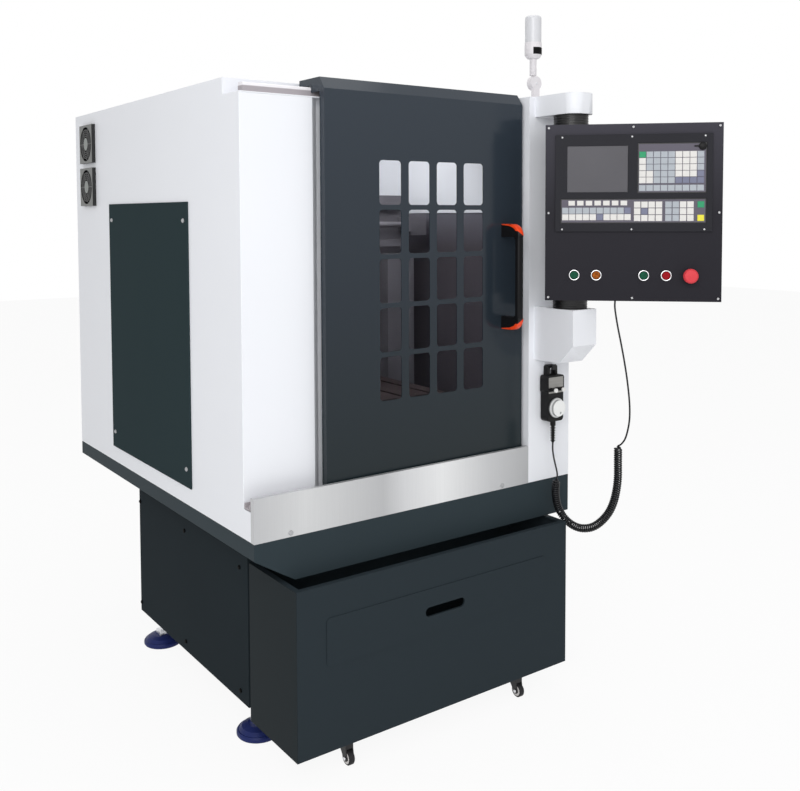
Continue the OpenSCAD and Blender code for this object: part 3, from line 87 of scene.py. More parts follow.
cam.matrix_world = Matrix((
    (right.x, -down.x, -fwd.x, eye.x),
    (right.y, -down.y, -fwd.y, eye.y),
    (right.z, -down.z, -fwd.z, eye.z),
    (0, 0, 0, 1)))


# Materials
NOISE_LOW = 0.3
NOISE_HIGH = 0.7
BUMP_DEPTH = 0.0002


def new_material(name):
    m = bpy.data.materials.new(name)
    m.use_nodes = True
    return m, m.node_tree, m.node_tree.nodes["Principled BSDF"]


def srgb(r, g, b):
    """Linear colour from 0 to 255 screen values."""
    def lin(c):
        c /= 255
        return c / 12.92 if c <= 0.04045 else ((c + 0.055) / 1.055) ** 2.4
    return (lin(r), lin(g), lin(b), 1)


def shade(c, f):
    return (min(c[0] * f, 1), min(c[1] * f, 1), min(c[2] * f, 1), 1)


def noise(t, scale, detail=4, stretch=None):
    coord = t.nodes.new("ShaderNodeTexCoord")
    tex = t.nodes.new("ShaderNodeTexNoise")
    tex.inputs["Scale"].default_value = scale
    tex.inputs["Detail"].default_value = detail
    if stretch:
        mapping = t.nodes.new("ShaderNodeMapping")
        mapping.inputs["Scale"].default_value = stretch
        t.links.new(coord.outputs["Object"], mapping.inputs["Vector"])
        t.links.new(mapping.outputs["Vector"], tex.inputs["Vector"])
    else:
        t.links.new(coord.outputs["Object"], tex.inputs["Vector"])
    return tex.outputs["Fac"]


def ramp(t, fac, stops):
    node = t.nodes.new("ShaderNodeValToRGB")
    els = node.color_ramp.elements
    while len(els) < len(stops):
        els.new(0.5)
    for e, (pos, col) in zip(els, stops):
        e.position = pos
        e.color = col
    t.links.new(fac, node.inputs["Fac"])
    return node.outputs["Color"]


def drift(t, fac, low, high):
    """Colour that follows a noise between two tones."""
    return ramp(t, fac, [(NOISE_LOW, low), (NOISE_HIGH, high)])


def spread(t, fac, low, high):
    """Value that follows a noise between two ends."""
    node = t.nodes.new("ShaderNodeMapRange")
    node.inputs["From Min"].default_value = NOISE_LOW
    node.inputs["From Max"].default_value = NOISE_HIGH
    node.inputs["To Min"].default_value = low
    node.inputs["To Max"].default_value = high
    t.links.new(fac, node.inputs["Value"])
    return node.outputs["Result"]


def place_along(t, axis, low, high):
    """Runs from 0 to 1 between two places of the machine, in millimetres along one axis."""
    coord = t.nodes.new("ShaderNodeTexCoord")
    split = t.nodes.new("ShaderNodeSeparateXYZ")
    span = t.nodes.new("ShaderNodeMapRange")
    shift = {"X": ORIGIN_X, "Y": ORIGIN_Y, "Z": 0}[axis]
    span.inputs["From Min"].default_value = (low - shift) / 1000
    span.inputs["From Max"].default_value = (high - shift) / 1000
    t.links.new(coord.outputs["Object"], split.inputs["Vector"])
    t.links.new(split.outputs[axis], span.inputs["Value"])
    return span.outputs["Result"]


def bumped(t, bsdf, fac, strength):
    node = t.nodes.new("ShaderNodeBump")
    node.inputs["Strength"].default_value = strength
    node.inputs["Distance"].default_value = BUMP_DEPTH
    t.links.new(fac, node.inputs["Height"])
    t.links.new(node.outputs["Normal"], bsdf.inputs["Normal"])


def paint(name, col, rough, spec, vary, cloud, grain, bump):
    """Solid finish with a slow drift of tone and a fine grain."""
    m, t, b = new_material(name)
    slow = noise(t, cloud, 3)
    t.links.new(drift(t, slow, shade(col, 1 - vary), shade(col, 1 + vary)), b.inputs["Base Color"])
    fine = noise(t, grain, 2)
    t.links.new(spread(t, fine, rough - 0.05, rough + 0.05), b.inputs["Roughness"])
    if bump:
        bumped(t, b, fine, bump)
    b.inputs["Specular IOR Level"].default_value = spec
    return m


def graded(name, axis, low, high, stops, rough, spec, grain=1100, bump=0.1):
    """Tone that changes along the machine, with a fine grain: two-tone parts, and light and shade painted into a tone.
    """
    m, t, b = new_material(name)
    t.links.new(ramp(t, place_along(t, axis, low, high), stops), b.inputs["Base Color"])
    fine = noise(t, grain, 2)
    t.links.new(spread(t, fine, rough - 0.05, rough + 0.05), b.inputs["Roughness"])
    bumped(t, b, fine, bump)
    b.inputs["Specular IOR Level"].default_value = spec
    return m


def brushed(name, col, rough, stretch, vary, bump=0.05):
    """Metal with fine lines along one direction."""
    m, t, b = new_material(name)
    lines = noise(t, 1.0, 3, stretch)
    t.links.new(drift(t, lines, shade(col, 1 - vary), shade(col, 1 + vary)), b.inputs["Base Color"])
    t.links.new(spread(t, lines, rough - 0.06, rough + 0.06), b.inputs["Roughness"])
    bumped(t, b, lines, bump)
    b.inputs["Metallic"].default_value = 1.0
    return m


def clear(name, col, rough, ior):
    """See-through pane with a faint drift of tone."""
    m, t, b = new_material(name)
    t.links.new(drift(t, noise(t, 3, 2), shade(col, 0.96), shade(col, 1.04)), b.inputs["Base Color"])
    b.inputs["Roughness"].default_value = rough
    b.inputs["Transmission Weight"].default_value = 1.0
    b.inputs["IOR"].default_value = ior
    return m


white = paint("white_paint", srgb(236, 238, 243), 0.42, 0.35, 0.012, 1.4, 1100, 0.08)
white_in = paint("white_inner", srgb(250, 251, 254), 0.5, 0.3, 0.02, 1.4, 1100, 0.08)
slate = paint("slate_paint", srgb(48, 58, 63), 0.55, 0.07, 0.05, 1.6, 1100, 0.08)
# Tank: its left side painted darker than its front, as painted shade
tank_shaded_left_side = graded("tank_shaded_left_side", "X", 75.1, 76.6, [(0.0, srgb(30, 37, 40)), (1.0, srgb(43, 51, 56))], 0.55, 0.05)
slate_deep = paint("slate_stand", srgb(38, 45, 49), 0.6, 0.012, 0.05, 1.6, 1100, 0.08)
# Door: painted sheen, darker towards the bottom and lighter towards the top
door_paint = graded("door_paint", "Z", 700, 1726,
    [(0.0, srgb(26, 36, 40)), (0.45, srgb(38, 46, 54)), (1.0, srgb(48, 56, 65))], 0.16, 0.24)
# Face plate: painted sheen, lighter towards the top
panel_paint = graded("panel_paint", "Z", 1143, 1630,
    [(0.0, srgb(36, 35, 41)), (0.5, srgb(39, 38, 44)), (1.0, srgb(62, 61, 69))], 0.5, 0.1, 1400)
bezel_plastic = paint("bezel_plastic", srgb(40, 40, 45), 0.5, 0.1, 0.05, 6, 1600, 0.1)
black_plastic = paint("black_plastic", srgb(26, 26, 28), 0.42, 0.35, 0.08, 8, 1200, 0.12)
collar_black = paint("collar_black", srgb(20, 20, 21), 0.35, 0.4, 0.08, 8, 1200, 0.1)
# Fan guards: front face painted grey as light, parts set back painted dark as shade
guard_painted_depth_shade = graded("guard_plastic_painted_depth_shade", "X", -11.9, -11.6, [(0.0, srgb(98, 100, 98)), (1.0, srgb(24, 25, 26))], 0.4, 0.4)
grip_black = paint("grip_black", srgb(17, 17, 19), 0.5, 0.16, 0.06, 20, 900, 0.1)
blue = paint("blue_plastic", srgb(34, 45, 100), 0.42, 0.16, 0.08, 9, 700, 0.1)
cast = paint("casting", srgb(56, 47, 48), 0.5, 0.2, 0.15, 6, 500, 0.15)
cast_grey = paint("casting_beam", srgb(108, 106, 112), 0.5, 0.2, 0.1, 6, 500, 0.15)
# Door rail: lower part painted grey as shade, upper part painted near white as light
rail_painted_light_shade = graded("rail_alloy", "Z", 1695, 1697, [(0.0, srgb(168, 162, 166)), (1.0, srgb(240, 238, 241))], 0.5, 0.3)
bright = brushed("bright_steel", srgb(222, 223, 226), 0.34, (300, 300, 300), 0.05)
screw_tone = graded("screw_finish", "Z", 540, 580, [(0.0, srgb(8, 9, 9)), (1.0, srgb(172, 173, 175))], 0.6, 0.06)
lamp_white = paint("lamp_white", srgb(224, 221, 224), 0.35, 0.4, 0.008, 12, 900, 0.03)
lens_white = paint("lens_white", srgb(212, 213, 217), 0.2, 0.5, 0.006, 12, 900, 0.02)
screen_glass = paint("screen_glass", srgb(87, 86, 91), 0.3, 0.15, 0.05, 5, 1500, 0.03)
stop_red = paint("stop_red", srgb(219, 67, 75), 0.55, 0.25, 0.04, 30, 900, 0.06)
green_lens = paint("green_lens", srgb(16, 78, 56), 0.2, 0.14, 0.3, 160, 900, 0.0)
amber_lens = paint("amber_lens", srgb(150, 78, 14), 0.2, 0.14, 0.45, 160, 900, 0.0)
red_lens = paint("red_lens", srgb(150, 6, 22), 0.2, 0.14, 0.25, 160, 900, 0.0)
dial_white = graded("dial_finish", "Y", -52.5, -36, [(0.0, srgb(238, 239, 238)), (0.08, srgb(236, 237, 236)),
    (0.17, srgb(172, 174, 174)), (0.56, srgb(150, 152, 153)), (0.6, srgb(216, 217, 217)), (0.66, srgb(212, 213, 213)),
    (0.76, srgb(138, 140, 141)), (1.0, srgb(104, 106, 107))], 0.32, 0.4)
hook_tone = graded("hook_finish", "Y", -24.2, -23.2, [(0.0, srgb(20, 20, 21)), (1.0, srgb(228, 229, 233))], 0.4, 0.3)
knob_tone = graded("knob_plastic", "Y", -49.6, -49.2, [(0.0, srgb(232, 232, 230)), (1.0, srgb(22, 22, 23))], 0.4, 0.4)
rubber = paint("wheel_rubber", srgb(34, 34, 36), 0.6, 0.25, 0.1, 60, 900, 0.15)
cord_black = paint("cord_black", srgb(17, 18, 21), 0.36, 0.32, 0.08, 40, 900, 0.05)
pendant_black = paint("pendant_black", srgb(17, 17, 18), 0.45, 0.2, 0.08, 12, 1200, 0.1)
tint = clear("tint_glass", srgb(246, 247, 249), 0.02, 1.03)

# Steel strip: upright grain, with painted reflections as lighter and darker bands along the strip
steel_strip, st, sb = new_material("strip_steel")
strip_painted_reflection = ramp(st, place_along(st, "X", 0, 886), [(0.0, srgb(194, 195, 197)), (0.16, srgb(214, 215, 216)),
    (0.42, srgb(188, 189, 191)), (0.5, srgb(214, 215, 217)), (0.64, srgb(235, 236, 237)), (0.84, srgb(200, 201, 203)),
    (1.0, srgb(184, 185, 187))])
grain = noise(st, 1.0, 3, (900, 900, 6))
mixer = st.nodes.new("ShaderNodeMix")
mixer.data_type = "RGBA"
mixer.blend_type = "MULTIPLY"
mixer.inputs["Factor"].default_value = 1.0
st.links.new(strip_painted_reflection, mixer.inputs["A"])
st.links.new(drift(st, grain, (0.94, 0.94, 0.94, 1), (1, 1, 1, 1)), mixer.inputs["B"])
st.links.new(mixer.outputs["Result"], sb.inputs["Base Color"])
st.links.new(spread(st, grain, 0.36, 0.46), sb.inputs["Roughness"])
sb.inputs["Metallic"].default_value = 0.55
bumped(st, sb, grain, 0.04)

# Ends of the grip: the colour runs out in a slanted point on the grip's face
orange, et, eb = new_material("grip_ends")
GRIP_LEFT = (795 - ORIGIN_X) / 1000
GRIP_MID = 1.207
GRIP_SLOPE = 0.75
GRIP_EDGE = (0.1297, 0.1303)
split = et.nodes.new("ShaderNodeSeparateXYZ")
et.links.new(et.nodes.new("ShaderNodeTexCoord").outputs["Object"], split.inputs["Vector"])
height = split.outputs["Z"]
for operation, value in (("SUBTRACT", GRIP_MID), ("ABSOLUTE", 0.0)):
    node = et.nodes.new("ShaderNodeMath")
    node.operation = operation
    node.inputs[1].default_value = value
    et.links.new(height, node.inputs[0])
    height = node.outputs["Value"]
slant = et.nodes.new("ShaderNodeMath")
slant.operation = "MULTIPLY_ADD"
slant.inputs[1].default_value = GRIP_SLOPE
et.links.new(split.outputs["X"], slant.inputs[0])
et.links.new(height, slant.inputs[2])
edge = et.nodes.new("ShaderNodeMapRange")
edge.inputs["From Min"].default_value = GRIP_EDGE[0] + GRIP_SLOPE * GRIP_LEFT
edge.inputs["From Max"].default_value = GRIP_EDGE[1] + GRIP_SLOPE * GRIP_LEFT
et.links.new(slant.outputs["Value"], edge.inputs["Value"])
et.links.new(ramp(et, edge.outputs["Result"], [(0.0, srgb(17, 17, 19)), (1.0, srgb(243, 74, 30))]),
    eb.inputs["Base Color"])
fine = noise(et, 900, 2)
et.links.new(spread(et, fine, 0.33, 0.43), eb.inputs["Roughness"])
bumped(et, eb, fine, 0.05)
eb.inputs["Specular IOR Level"].default_value = 0.3

# Access covers: painted outside, grey primer towards the chamber, the primer painted lighter towards the top as
# painted light
slate_cover, ct, cb = new_material("slate_cover")
primer_and_painted_light = ct.nodes.new("ShaderNodeMix")
primer_and_painted_light.data_type = "RGBA"
within = place_along(ct, "X", 0.2, 1.2)
for axis, low, high in (("X", 1051.4, 1050.4), ("Y", 1301, 1300)):
    both = ct.nodes.new("ShaderNodeMath")
    both.operation = "MULTIPLY"
    ct.links.new(within, both.inputs[0])
    ct.links.new(place_along(ct, axis, low, high), both.inputs[1])
    within = both.outputs["Value"]
ct.links.new(within, primer_and_painted_light.inputs["Factor"])
ct.links.new(drift(ct, noise(ct, 1.6, 3), srgb(42, 55, 58), srgb(44, 57, 60)), primer_and_painted_light.inputs["A"])
# Primer: painted light, lighter towards the top
ct.links.new(ramp(ct, place_along(ct, "Z", 1270, 1410), [(0.0, srgb(84, 80, 86)), (1.0, srgb(112, 112, 121))]),
    primer_and_painted_light.inputs["B"])
ct.links.new(primer_and_painted_light.outputs["Result"], cb.inputs["Base Color"])
fine = noise(ct, 1100, 2)
ct.links.new(spread(ct, fine, 0.55, 0.65), cb.inputs["Roughness"])
bumped(ct, cb, fine, 0.08)
cb.inputs["Specular IOR Level"].default_value = 0.012

LOOKS = {
    white: ["left_panel", "right_panel", "rear_panel", "roof_panel", "front_column", "upper_arm", "lower_bracket"],
    white_in: ["cabinet_wall"],
    slate: ["chassis_tray", "caster_mounts"],
    tank_shaded_left_side: ["tank_body"],
    slate_cover: ["access_covers"],
    slate_deep: ["stand_frame", "stand_skirt"],
    door_paint: ["door_shell"],
    panel_paint: ["face_plate"],
    collar_black: ["panel_box"],
    bezel_plastic: ["controller"],
    grip_black: ["door_handle"],
    black_plastic: ["fan_frames", "fan_impeller_upper", "fan_impeller_lower", "cord_gland",
        "caster_fork_left", "caster_fork_right"],
    pendant_black: ["pendant_body"],
    guard_painted_depth_shade: ["fan_guards"],
    orange: ["handle_ends"],
    blue: ["foot_pads"],
    cast: ["machine_bed", "work_table", "z_ram"],
    cast_grey: ["gantry", "saddle"],
    steel_strip: ["front_strip"],
    rail_painted_light_shade: ["door_rails"],
    bright: ["foot_stems", "spindle_nose", "spindle_motor"],
    screw_tone: ["housing_screws"],
    lamp_white: ["lamp_foot", "lamp_stem"],
    lens_white: ["lamp_lens"],
    screen_glass: ["screen"],
    stop_red: ["emergency_stop"],
    green_lens: ["button_start", "button_power_on"],
    amber_lens: ["button_hold"],
    red_lens: ["button_power_off"],
    dial_white: ["pendant_dial"],
    knob_tone: ["pendant_knob_left", "pendant_knob_right"],
    hook_tone: ["pendant_hook"],
    rubber: ["wheel_front_left", "wheel_front_right", "wheel_rear_left", "wheel_rear_right"],
    cord_black: ["cord_straight", "cord_coil"],
    tint: ["door_pane"],
}
for look, names in LOOKS.items():
    for n in names:
        mesh = nodes[n].data
        mesh.materials.clear()
        mesh.materials.append(look)

# Folded edges are slightly round, by these widths in millimetres
FOLDS = {
    "left_panel": 1.2, "right_panel": 1.2, "rear_panel": 1.2, "roof_panel": 1.2, "front_column": 1.4,
    "front_strip": 0.6, "chassis_tray": 1.5, "tank_body": 1.2, "stand_skirt": 1.2, "access_covers": 0.9,
    "door_shell": 0.9, "upper_arm": 1.5, "lower_bracket": 2.0, "face_plate": 0.8, "controller": 0.35,
    "panel_box": 0.8, "door_handle": 1.5, "handle_ends": 1.5, "work_table": 1.0, "gantry": 2.0,
    "machine_bed": 2.0, "z_ram": 1.5, "saddle": 1.5, "pendant_body": 2.0, "pendant_hook": 0.6,
    "foot_stems": 0.8, "caster_mounts": 0.6, "caster_fork_left": 0.6, "caster_fork_right": 0.6,
    "fan_frames": 0.6, "fan_guards": 0.5, "door_rails": 0.6, "screen": 0.3, "lamp_foot": 0.8, "lamp_stem": 0.8,
    "emergency_stop": 0.8, "pendant_dial": 0.6,
}
WELD_GAP = 0.00002
FOLD_ANGLE = math.radians(35)
for n, width in FOLDS.items():
    weld = nodes[n].modifiers.new("weld", "WELD")
    weld.merge_threshold = WELD_GAP
    # The door's flat facets join first, or the rounding leaves slivers at the windows
    if n == "door_shell":
        flat = nodes[n].modifiers.new("flat", "DECIMATE")
        flat.decimate_type = "DISSOLVE"
        flat.angle_limit = math.radians(1)
    bevel = nodes[n].modifiers.new("fold", "BEVEL")
    bevel.width = width / 1000
    bevel.segments = 2
    bevel.limit_method = "ANGLE"
    bevel.angle_limit = FOLD_ANGLE
    bevel.use_clamp_overlap = True
    bevel.harden_normals = True


# Pieces
def piece(name, verts, faces, body, mat, smooth=False):
    mesh = bpy.data.meshes.new(name)
    mesh.from_pydata([tuple(v) for v in verts], [], faces)
    mesh.validate()
    obj = bpy.data.objects.new(name, mesh)
    bpy.context.scene.collection.objects.link(obj)
    mesh.materials.append(mat)
    if smooth:
        mesh.polygons.foreach_set("use_smooth", [True] * len(mesh.polygons))
    if body:
        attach(obj, body)
    return obj


class Bag:
    """Collects closed shapes that become one piece."""

    def __init__(self):
        self.verts = []
        self.faces = []

    def add(self, verts, faces):
        k = len(self.verts)
        self.verts += [Vector(v) for v in verts]
        self.faces += [[i + k for i in f] for f in faces]

    def slab(self, x0, x1, z0, z1, y0, y1, place, edge=0.0):
        """Box between two depths, its front edges cut back by edge. y0 is the front."""
        pts = []
        for y, e in ((y1, 0), (y0 + edge, 0), (y0, edge)):
            a, b, low, high = x0 + e, x1 - e, z0 + e, z1 - e
            pts += [place(a, y, low), place(b, y, low), place(b, y, high), place(a, y, high)]
        faces = [[3, 2, 1, 0], [8, 9, 10, 11]]
        for r in (0, 4):
            for i in range(4):
                j = (i + 1) % 4
                faces.append([r + i, r + j, r + 4 + j, r + 4 + i])
        self.add(pts, faces)

    def lathe(self, profile, centre, axis, sides=32):
        """Turned shape; profile holds radius and height pairs in millimetres, from bottom to top."""
        axis = Vector(axis).normalized()
        side = axis.orthogonal().normalized()
        other = axis.cross(side)
        pts = []
        for r, h in profile:
            for i in range(sides):
                a = 2 * math.pi * i / sides
                pts.append(Vector(centre) + (axis * h + (side * math.cos(a) + other * math.sin(a)) * r) / 1000)
        faces = []
        for k in range(len(profile) - 1):
            for i in range(sides):
                j = (i + 1) % sides
                faces.append([k * sides + i, k * sides + j, (k + 1) * sides + j, (k + 1) * sides + i])
        last = (len(profile) - 1) * sides
        if profile[0] != profile[-1]:
            faces.append(list(range(sides - 1, -1, -1)))
            faces.append([last + i for i in range(sides)])
        self.add(pts, faces)

    def make(self, name, body, slot, mat, smooth=False):
        return piece(name, self.verts, self.faces, body, mat, smooth)


def sweep(points, radius, sides):
    """Vertices and faces of a round tube along points."""
    verts, faces = [], []
    side = None
    n = len(points)
    for i, p in enumerate(points):
        tan = (points[min(i + 1, n - 1)] - points[max(i - 1, 0)]).normalized()
        if side is None:
            side = tan.orthogonal().normalized()
        side = (side - tan * side.dot(tan)).normalized()
        other = tan.cross(side)
        for k in range(sides):
            a = 2 * math.pi * k / sides
            verts.append(p + (side * math.cos(a) + other * math.sin(a)) * radius)
    for i in range(n - 1):
        for k in range(sides):
            j = (k + 1) % sides
            faces.append([i * sides + k, i * sides + j, (i + 1) * sides + j, (i + 1) * sides + k])
    faces.append(list(range(sides - 1, -1, -1)))
    faces.append([(n - 1) * sides + k for k in range(sides)])
    return verts, faces


# Cord: straight stretch, curly stretch and tail, on the route of the source
GLAND = (1034.817, -192.959)
UPPER = [(*GLAND, 1138.7), (*GLAND, 1117), (1038, -200, 1070), (1043, -209, 1020), (1047, -218, 970),
    (1051, -226, 915), (1054, -232, 855), (1054, -233, 810), (1052, -229, 777), (1049, -222, 750),
    (1044, -213, 734), (1040, -204, 727)]
COIL = [(1040, -204, 727), (1040, -204, 680), (1040, -204, 635), (1038, -200, 595), (1034, -191, 556),
    (1027, -176, 523), (1016, -153, 494), (1006, -129, 478), (996, -99, 472), (990, -68, 478),
    (986, -43, 494), (972, -35, 524), (964, -34, 559), (961, -37, 587), (962, -39, 608)]
TAIL = [(962, -39, 608), (962, -42, 624), (961, -37, 645), (961, -29, 668), (961, -24, 692), (961, -24, 714.7)]
CORD_D = 0.005
COIL_R = 0.0096
COIL_PITCH = 0.0064
COIL_STEPS = 14
LEAD_TURNS = 1.3


def curve_points(route, steps):
    """Smooth line through the points of a route."""
    p = [at(*q) for q in route]
    out = []
    for i in range(len(p) - 1):
        a, b, c, d = p[max(i - 1, 0)], p[i], p[i + 1], p[min(i + 2, len(p) - 1)]
        for k in range(steps):
            t = k / steps
            out.append((2 * b + (c - a) * t + (2 * a - 5 * b + 4 * c - d) * t * t
                + (3 * b - a - 3 * c + d) * t ** 3) * 0.5)
    return out + [p[-1]]


def helix(line, radius, pitch, per_turn):
    """Winds round a line; the winding starts and ends on the line itself."""
    lengths = [0]
    for a, b in zip(line, line[1:]):
        lengths.append(lengths[-1] + (b - a).length)
    total = lengths[-1]
    turns = round(total / pitch)
    count = turns * per_turn
    out = []
    side = None
    k = 0
    for i in range(count + 1):
        s = total * i / count
        while k < len(line) - 2 and lengths[k + 1] < s:
            k += 1
        f = (s - lengths[k]) / (lengths[k + 1] - lengths[k])
        p = line[k].lerp(line[k + 1], f)
        tan = (line[k + 1] - line[k]).normalized()
        if side is None:
            side = tan.orthogonal().normalized()
        side = (side - tan * side.dot(tan)).normalized()
        other = tan.cross(side)
        near = min(min(i, count - i) / (LEAD_TURNS * per_turn), 1)
        r = radius * near * near * (3 - 2 * near)
        a = 2 * math.pi * i / per_turn
        out.append(p + (side * math.cos(a) + other * math.sin(a)) * r)
    return out


curls = helix(curve_points(COIL, 8), COIL_R, COIL_PITCH, COIL_STEPS)
cord_line = curve_points(UPPER, 5)[:-1] + curls[:-1] + curve_points(TAIL, 5)
verts, faces = sweep(cord_line, CORD_D / 2, 8)
cord = piece("pendant_cord", verts, faces, None, cord_black, True)
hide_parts("cord_straight", "cord_coil")
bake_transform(cord)

# Control panel: keys, fields, rings and screws
FACE_LEFT = -70
FACE_TOP = 1630
FACE_LOW = 1143
FACE_W = 475
FACE_Y = -60
BEZEL_X = -42.5
BEZEL_TOP = 1601
BEZEL_Y = -64
BEZEL_RIM_Y = -66
KEY_FRONT = -65.5
KEY_BACK = -64.2
KEY_GROW = 0.1
RIM_W = 2.5
key_white = paint("key_white", srgb(222, 220, 217), 0.5, 0.3, 0.02, 40, 900, 0.03)
key_grey = paint("key_grey", srgb(172, 178, 185), 0.5, 0.3, 0.03, 40, 900, 0.03)
key_blue = paint("key_blue", srgb(118, 121, 143), 0.5, 0.3, 0.03, 40, 900, 0.03)
key_green = paint("key_green", srgb(44, 152, 104), 0.5, 0.3, 0.03, 40, 900, 0.03)
key_yellow = paint("key_yellow", srgb(230, 220, 66), 0.5, 0.3, 0.03, 40, 900, 0.03)
field_grey = paint("key_field", srgb(92, 88, 100), 0.5, 0.3, 0.04, 20, 900, 0.05)
bags = {"w": Bag(), "g": Bag(), "b": Bag(), "n": Bag(), "y": Bag()}


def key_grid(x, top, px, pz, w, h, rows):
    """Rows of keys from the left and the top; a letter names the colour."""
    for k, row in enumerate(rows):
        for i, colour in enumerate(row):
            x0 = x + i * px - KEY_GROW
            z1 = top - k * pz + KEY_GROW
            bags[colour].slab(x0, x0 + w + 2 * KEY_GROW, z1 - h - 2 * KEY_GROW, z1, KEY_FRONT, KEY_BACK, on_panel, 0.6)


UP_X = BEZEL_X + 221
UP_TOP = BEZEL_TOP - 24
LOW_X = BEZEL_X + 14
LOW_TOP = BEZEL_TOP - 175
key_grid(UP_X + 5, UP_TOP - 24, 19.2, 17.5, 17.4, 16,
    ["nggggwwwg", "wggggwwwg", "wggggwwwg", "wwgggwwwb", "wwgggbbbb"])
key_grid(UP_X + 5, UP_TOP - 115, 19.2, 17.5, 17.4, 16, ["ggggggggg"])
key_grid(LOW_X + 22, LOW_TOP - 6, 23.5, 18, 17.5, 13, ["wwwwwww"])
key_grid(LOW_X + 5, LOW_TOP - 25, 18.7, 18, 17, 16.5, ["gggggggggb", "wwwwwbwwww"])
key_grid(LOW_X + 199, LOW_TOP - 9, 19.3, 18.3, 17, 16.5, ["wwww", "wbww", "wwww"])
key_grid(LOW_X + 282, LOW_TOP - 9, 19.3, 18.3, 17, 16.5, ["ggww", "ggww", "ggww"])
key_grid(LOW_X + 367, LOW_TOP - 9, 19, 36.6, 17.5, 16.5, ["n", "y"])
for key, name, mat in (("w", "keys_white", key_white), ("g", "keys_grey", key_grey), ("b", "keys_blue", key_blue),
        ("n", "keys_green", key_green), ("y", "keys_yellow", key_yellow)):
    bags[key].make(name, "panel", "bezel", mat)
FIELDS = ((UP_X + 1, UP_X + 183, UP_TOP - 137, UP_TOP - 1), (LOW_X + 1, LOW_X + 390, LOW_TOP - 68, LOW_TOP - 1))
field = Bag()
rim = Bag()
for x0, x1, z0, z1 in FIELDS:
    field.slab(x0 + RIM_W, x1 - RIM_W, z0 + RIM_W, z1 - RIM_W, BEZEL_Y - 0.4, BEZEL_Y, on_panel)
    rim.slab(x0, x1, z0, z1, BEZEL_Y - 0.2, BEZEL_Y, on_panel)
field.make("key_fields", "panel", "bezel", field_grey)
rim.make("key_rims", "panel", "bezel", collar_black)

chrome = brushed("ring_chrome", srgb(232, 232, 234), 0.18, (90, 90, 90), 0.03, 0.0)
face_out = Vector((-HALF, -HALF, 0))
BUTTONS = (80, 140, 268, 328)
BUTTON_Z = FACE_TOP - 415.5
rings = Bag()
for u in BUTTONS:
    rings.lathe([(11.25, 0.1), (15.3, 0.1), (15.3, 4.4), (14.4, 6.0), (12.6, 6.4), (11.4, 5.2), (11.25, 0.1)],
        on_panel(u + FACE_LEFT, FACE_Y, BUTTON_Z), face_out, 40)
rings.make("button_rings", "panel", "bezel", chrome, True)
heads = Bag()
EDGE = 9
LEFT, MIDDLE, RIGHT = EDGE, FACE_W / 2, FACE_W - EDGE
TOP, HALFWAY, LOW = FACE_TOP - EDGE, FACE_TOP - 243.5, FACE_LOW + EDGE
for u, z in ((LEFT, TOP), (MIDDLE, TOP), (RIGHT, TOP), (LEFT, HALFWAY), (RIGHT, HALFWAY),
        (LEFT, LOW), (MIDDLE, LOW), (RIGHT, LOW)):
    heads.lathe([(3.7, 0.1), (3.7, 1.2), (3.0, 2.3), (1.8, 2.8), (1.7, 2.1), (0.2, 2.1)],
        on_panel(u + FACE_LEFT, FACE_Y, z), face_out, 20)
for u in (46, 234, 427):
    for v in (36, 289):
        heads.lathe([(2.9, 0.05), (2.9, 0.8), (2.2, 1.5), (0.2, 1.7)],
            on_panel(u + FACE_LEFT, BEZEL_RIM_Y, FACE_TOP - v), face_out, 16)
screw_steel = brushed("screw_steel", srgb(186, 186, 188), 0.45, (300, 300, 300), 0.05)
heads.make("panel_screws", "panel", "bright_steel", screw_steel, True)

# Rubber cap with its strap over the socket in the upper key field
cap = Bag()
CAP_AT = (UP_X + 172, UP_TOP - 11)
cap.lathe([(10.5, 0.2), (10.5, 4.5), (9.4, 5.6), (0.3, 6.0)], on_panel(CAP_AT[0], BEZEL_Y, CAP_AT[1]), face_out, 28)
cap.slab(CAP_AT[0] - 22, CAP_AT[0] - 4, CAP_AT[1] - 1.6, CAP_AT[1] + 2.6, -66.0, -64.1, on_panel, 0.5)
cap.make("socket_cap", "panel", "black_plastic", pendant_black, True)

# Ribs on the swivel collars
UPWARD = (0, 0, 1)
ribs = Bag()
for z in (1634.5, 1641.5, 1648.5, 1655.5, 1119.5, 1126.5, 1133.5):
    ribs.lathe([(47.6, z), (48.8, z + 0.8), (48.8, z + 3.2), (47.6, z + 4)], at(*PIVOT, 0), UPWARD, 48)
ribs.make("collar_ribs", "panel", "panel_paint", collar_black)

# Pendant: ribbed cord boot and a bare plate above the levers
PEND_X = 961
BOOT_Y = -24
PLATE_HALF = 29
PLATE_Y = (-36.6, -35.9)
boot = Bag()
for k in range(6):
    z = 757 - 7.4 * k
    r = 4 + (z - 715) / 50
    boot.lathe([(r - 0.4, z - 1.5), (r + 3.0, z - 0.9), (r + 3.0, z + 0.9), (r - 0.4, z + 1.5)],
        at(PEND_X, BOOT_Y, 0), UPWARD, 20)
boot.make("boot_ribs", "base", "black_plastic", pendant_black)
plate_metal = brushed("plate_metal", srgb(150, 149, 146), 0.42, (4, 260, 260), 0.1)
plate = Bag()
for z0, z1 in ((878.5, 909), (862.5, 867.5)):
    plate.slab(PEND_X - PLATE_HALF, PEND_X + PLATE_HALF, z0, z1, *PLATE_Y, at, 0.3)
plate.make("pendant_plate", "base", "dial_alloy", plate_metal)

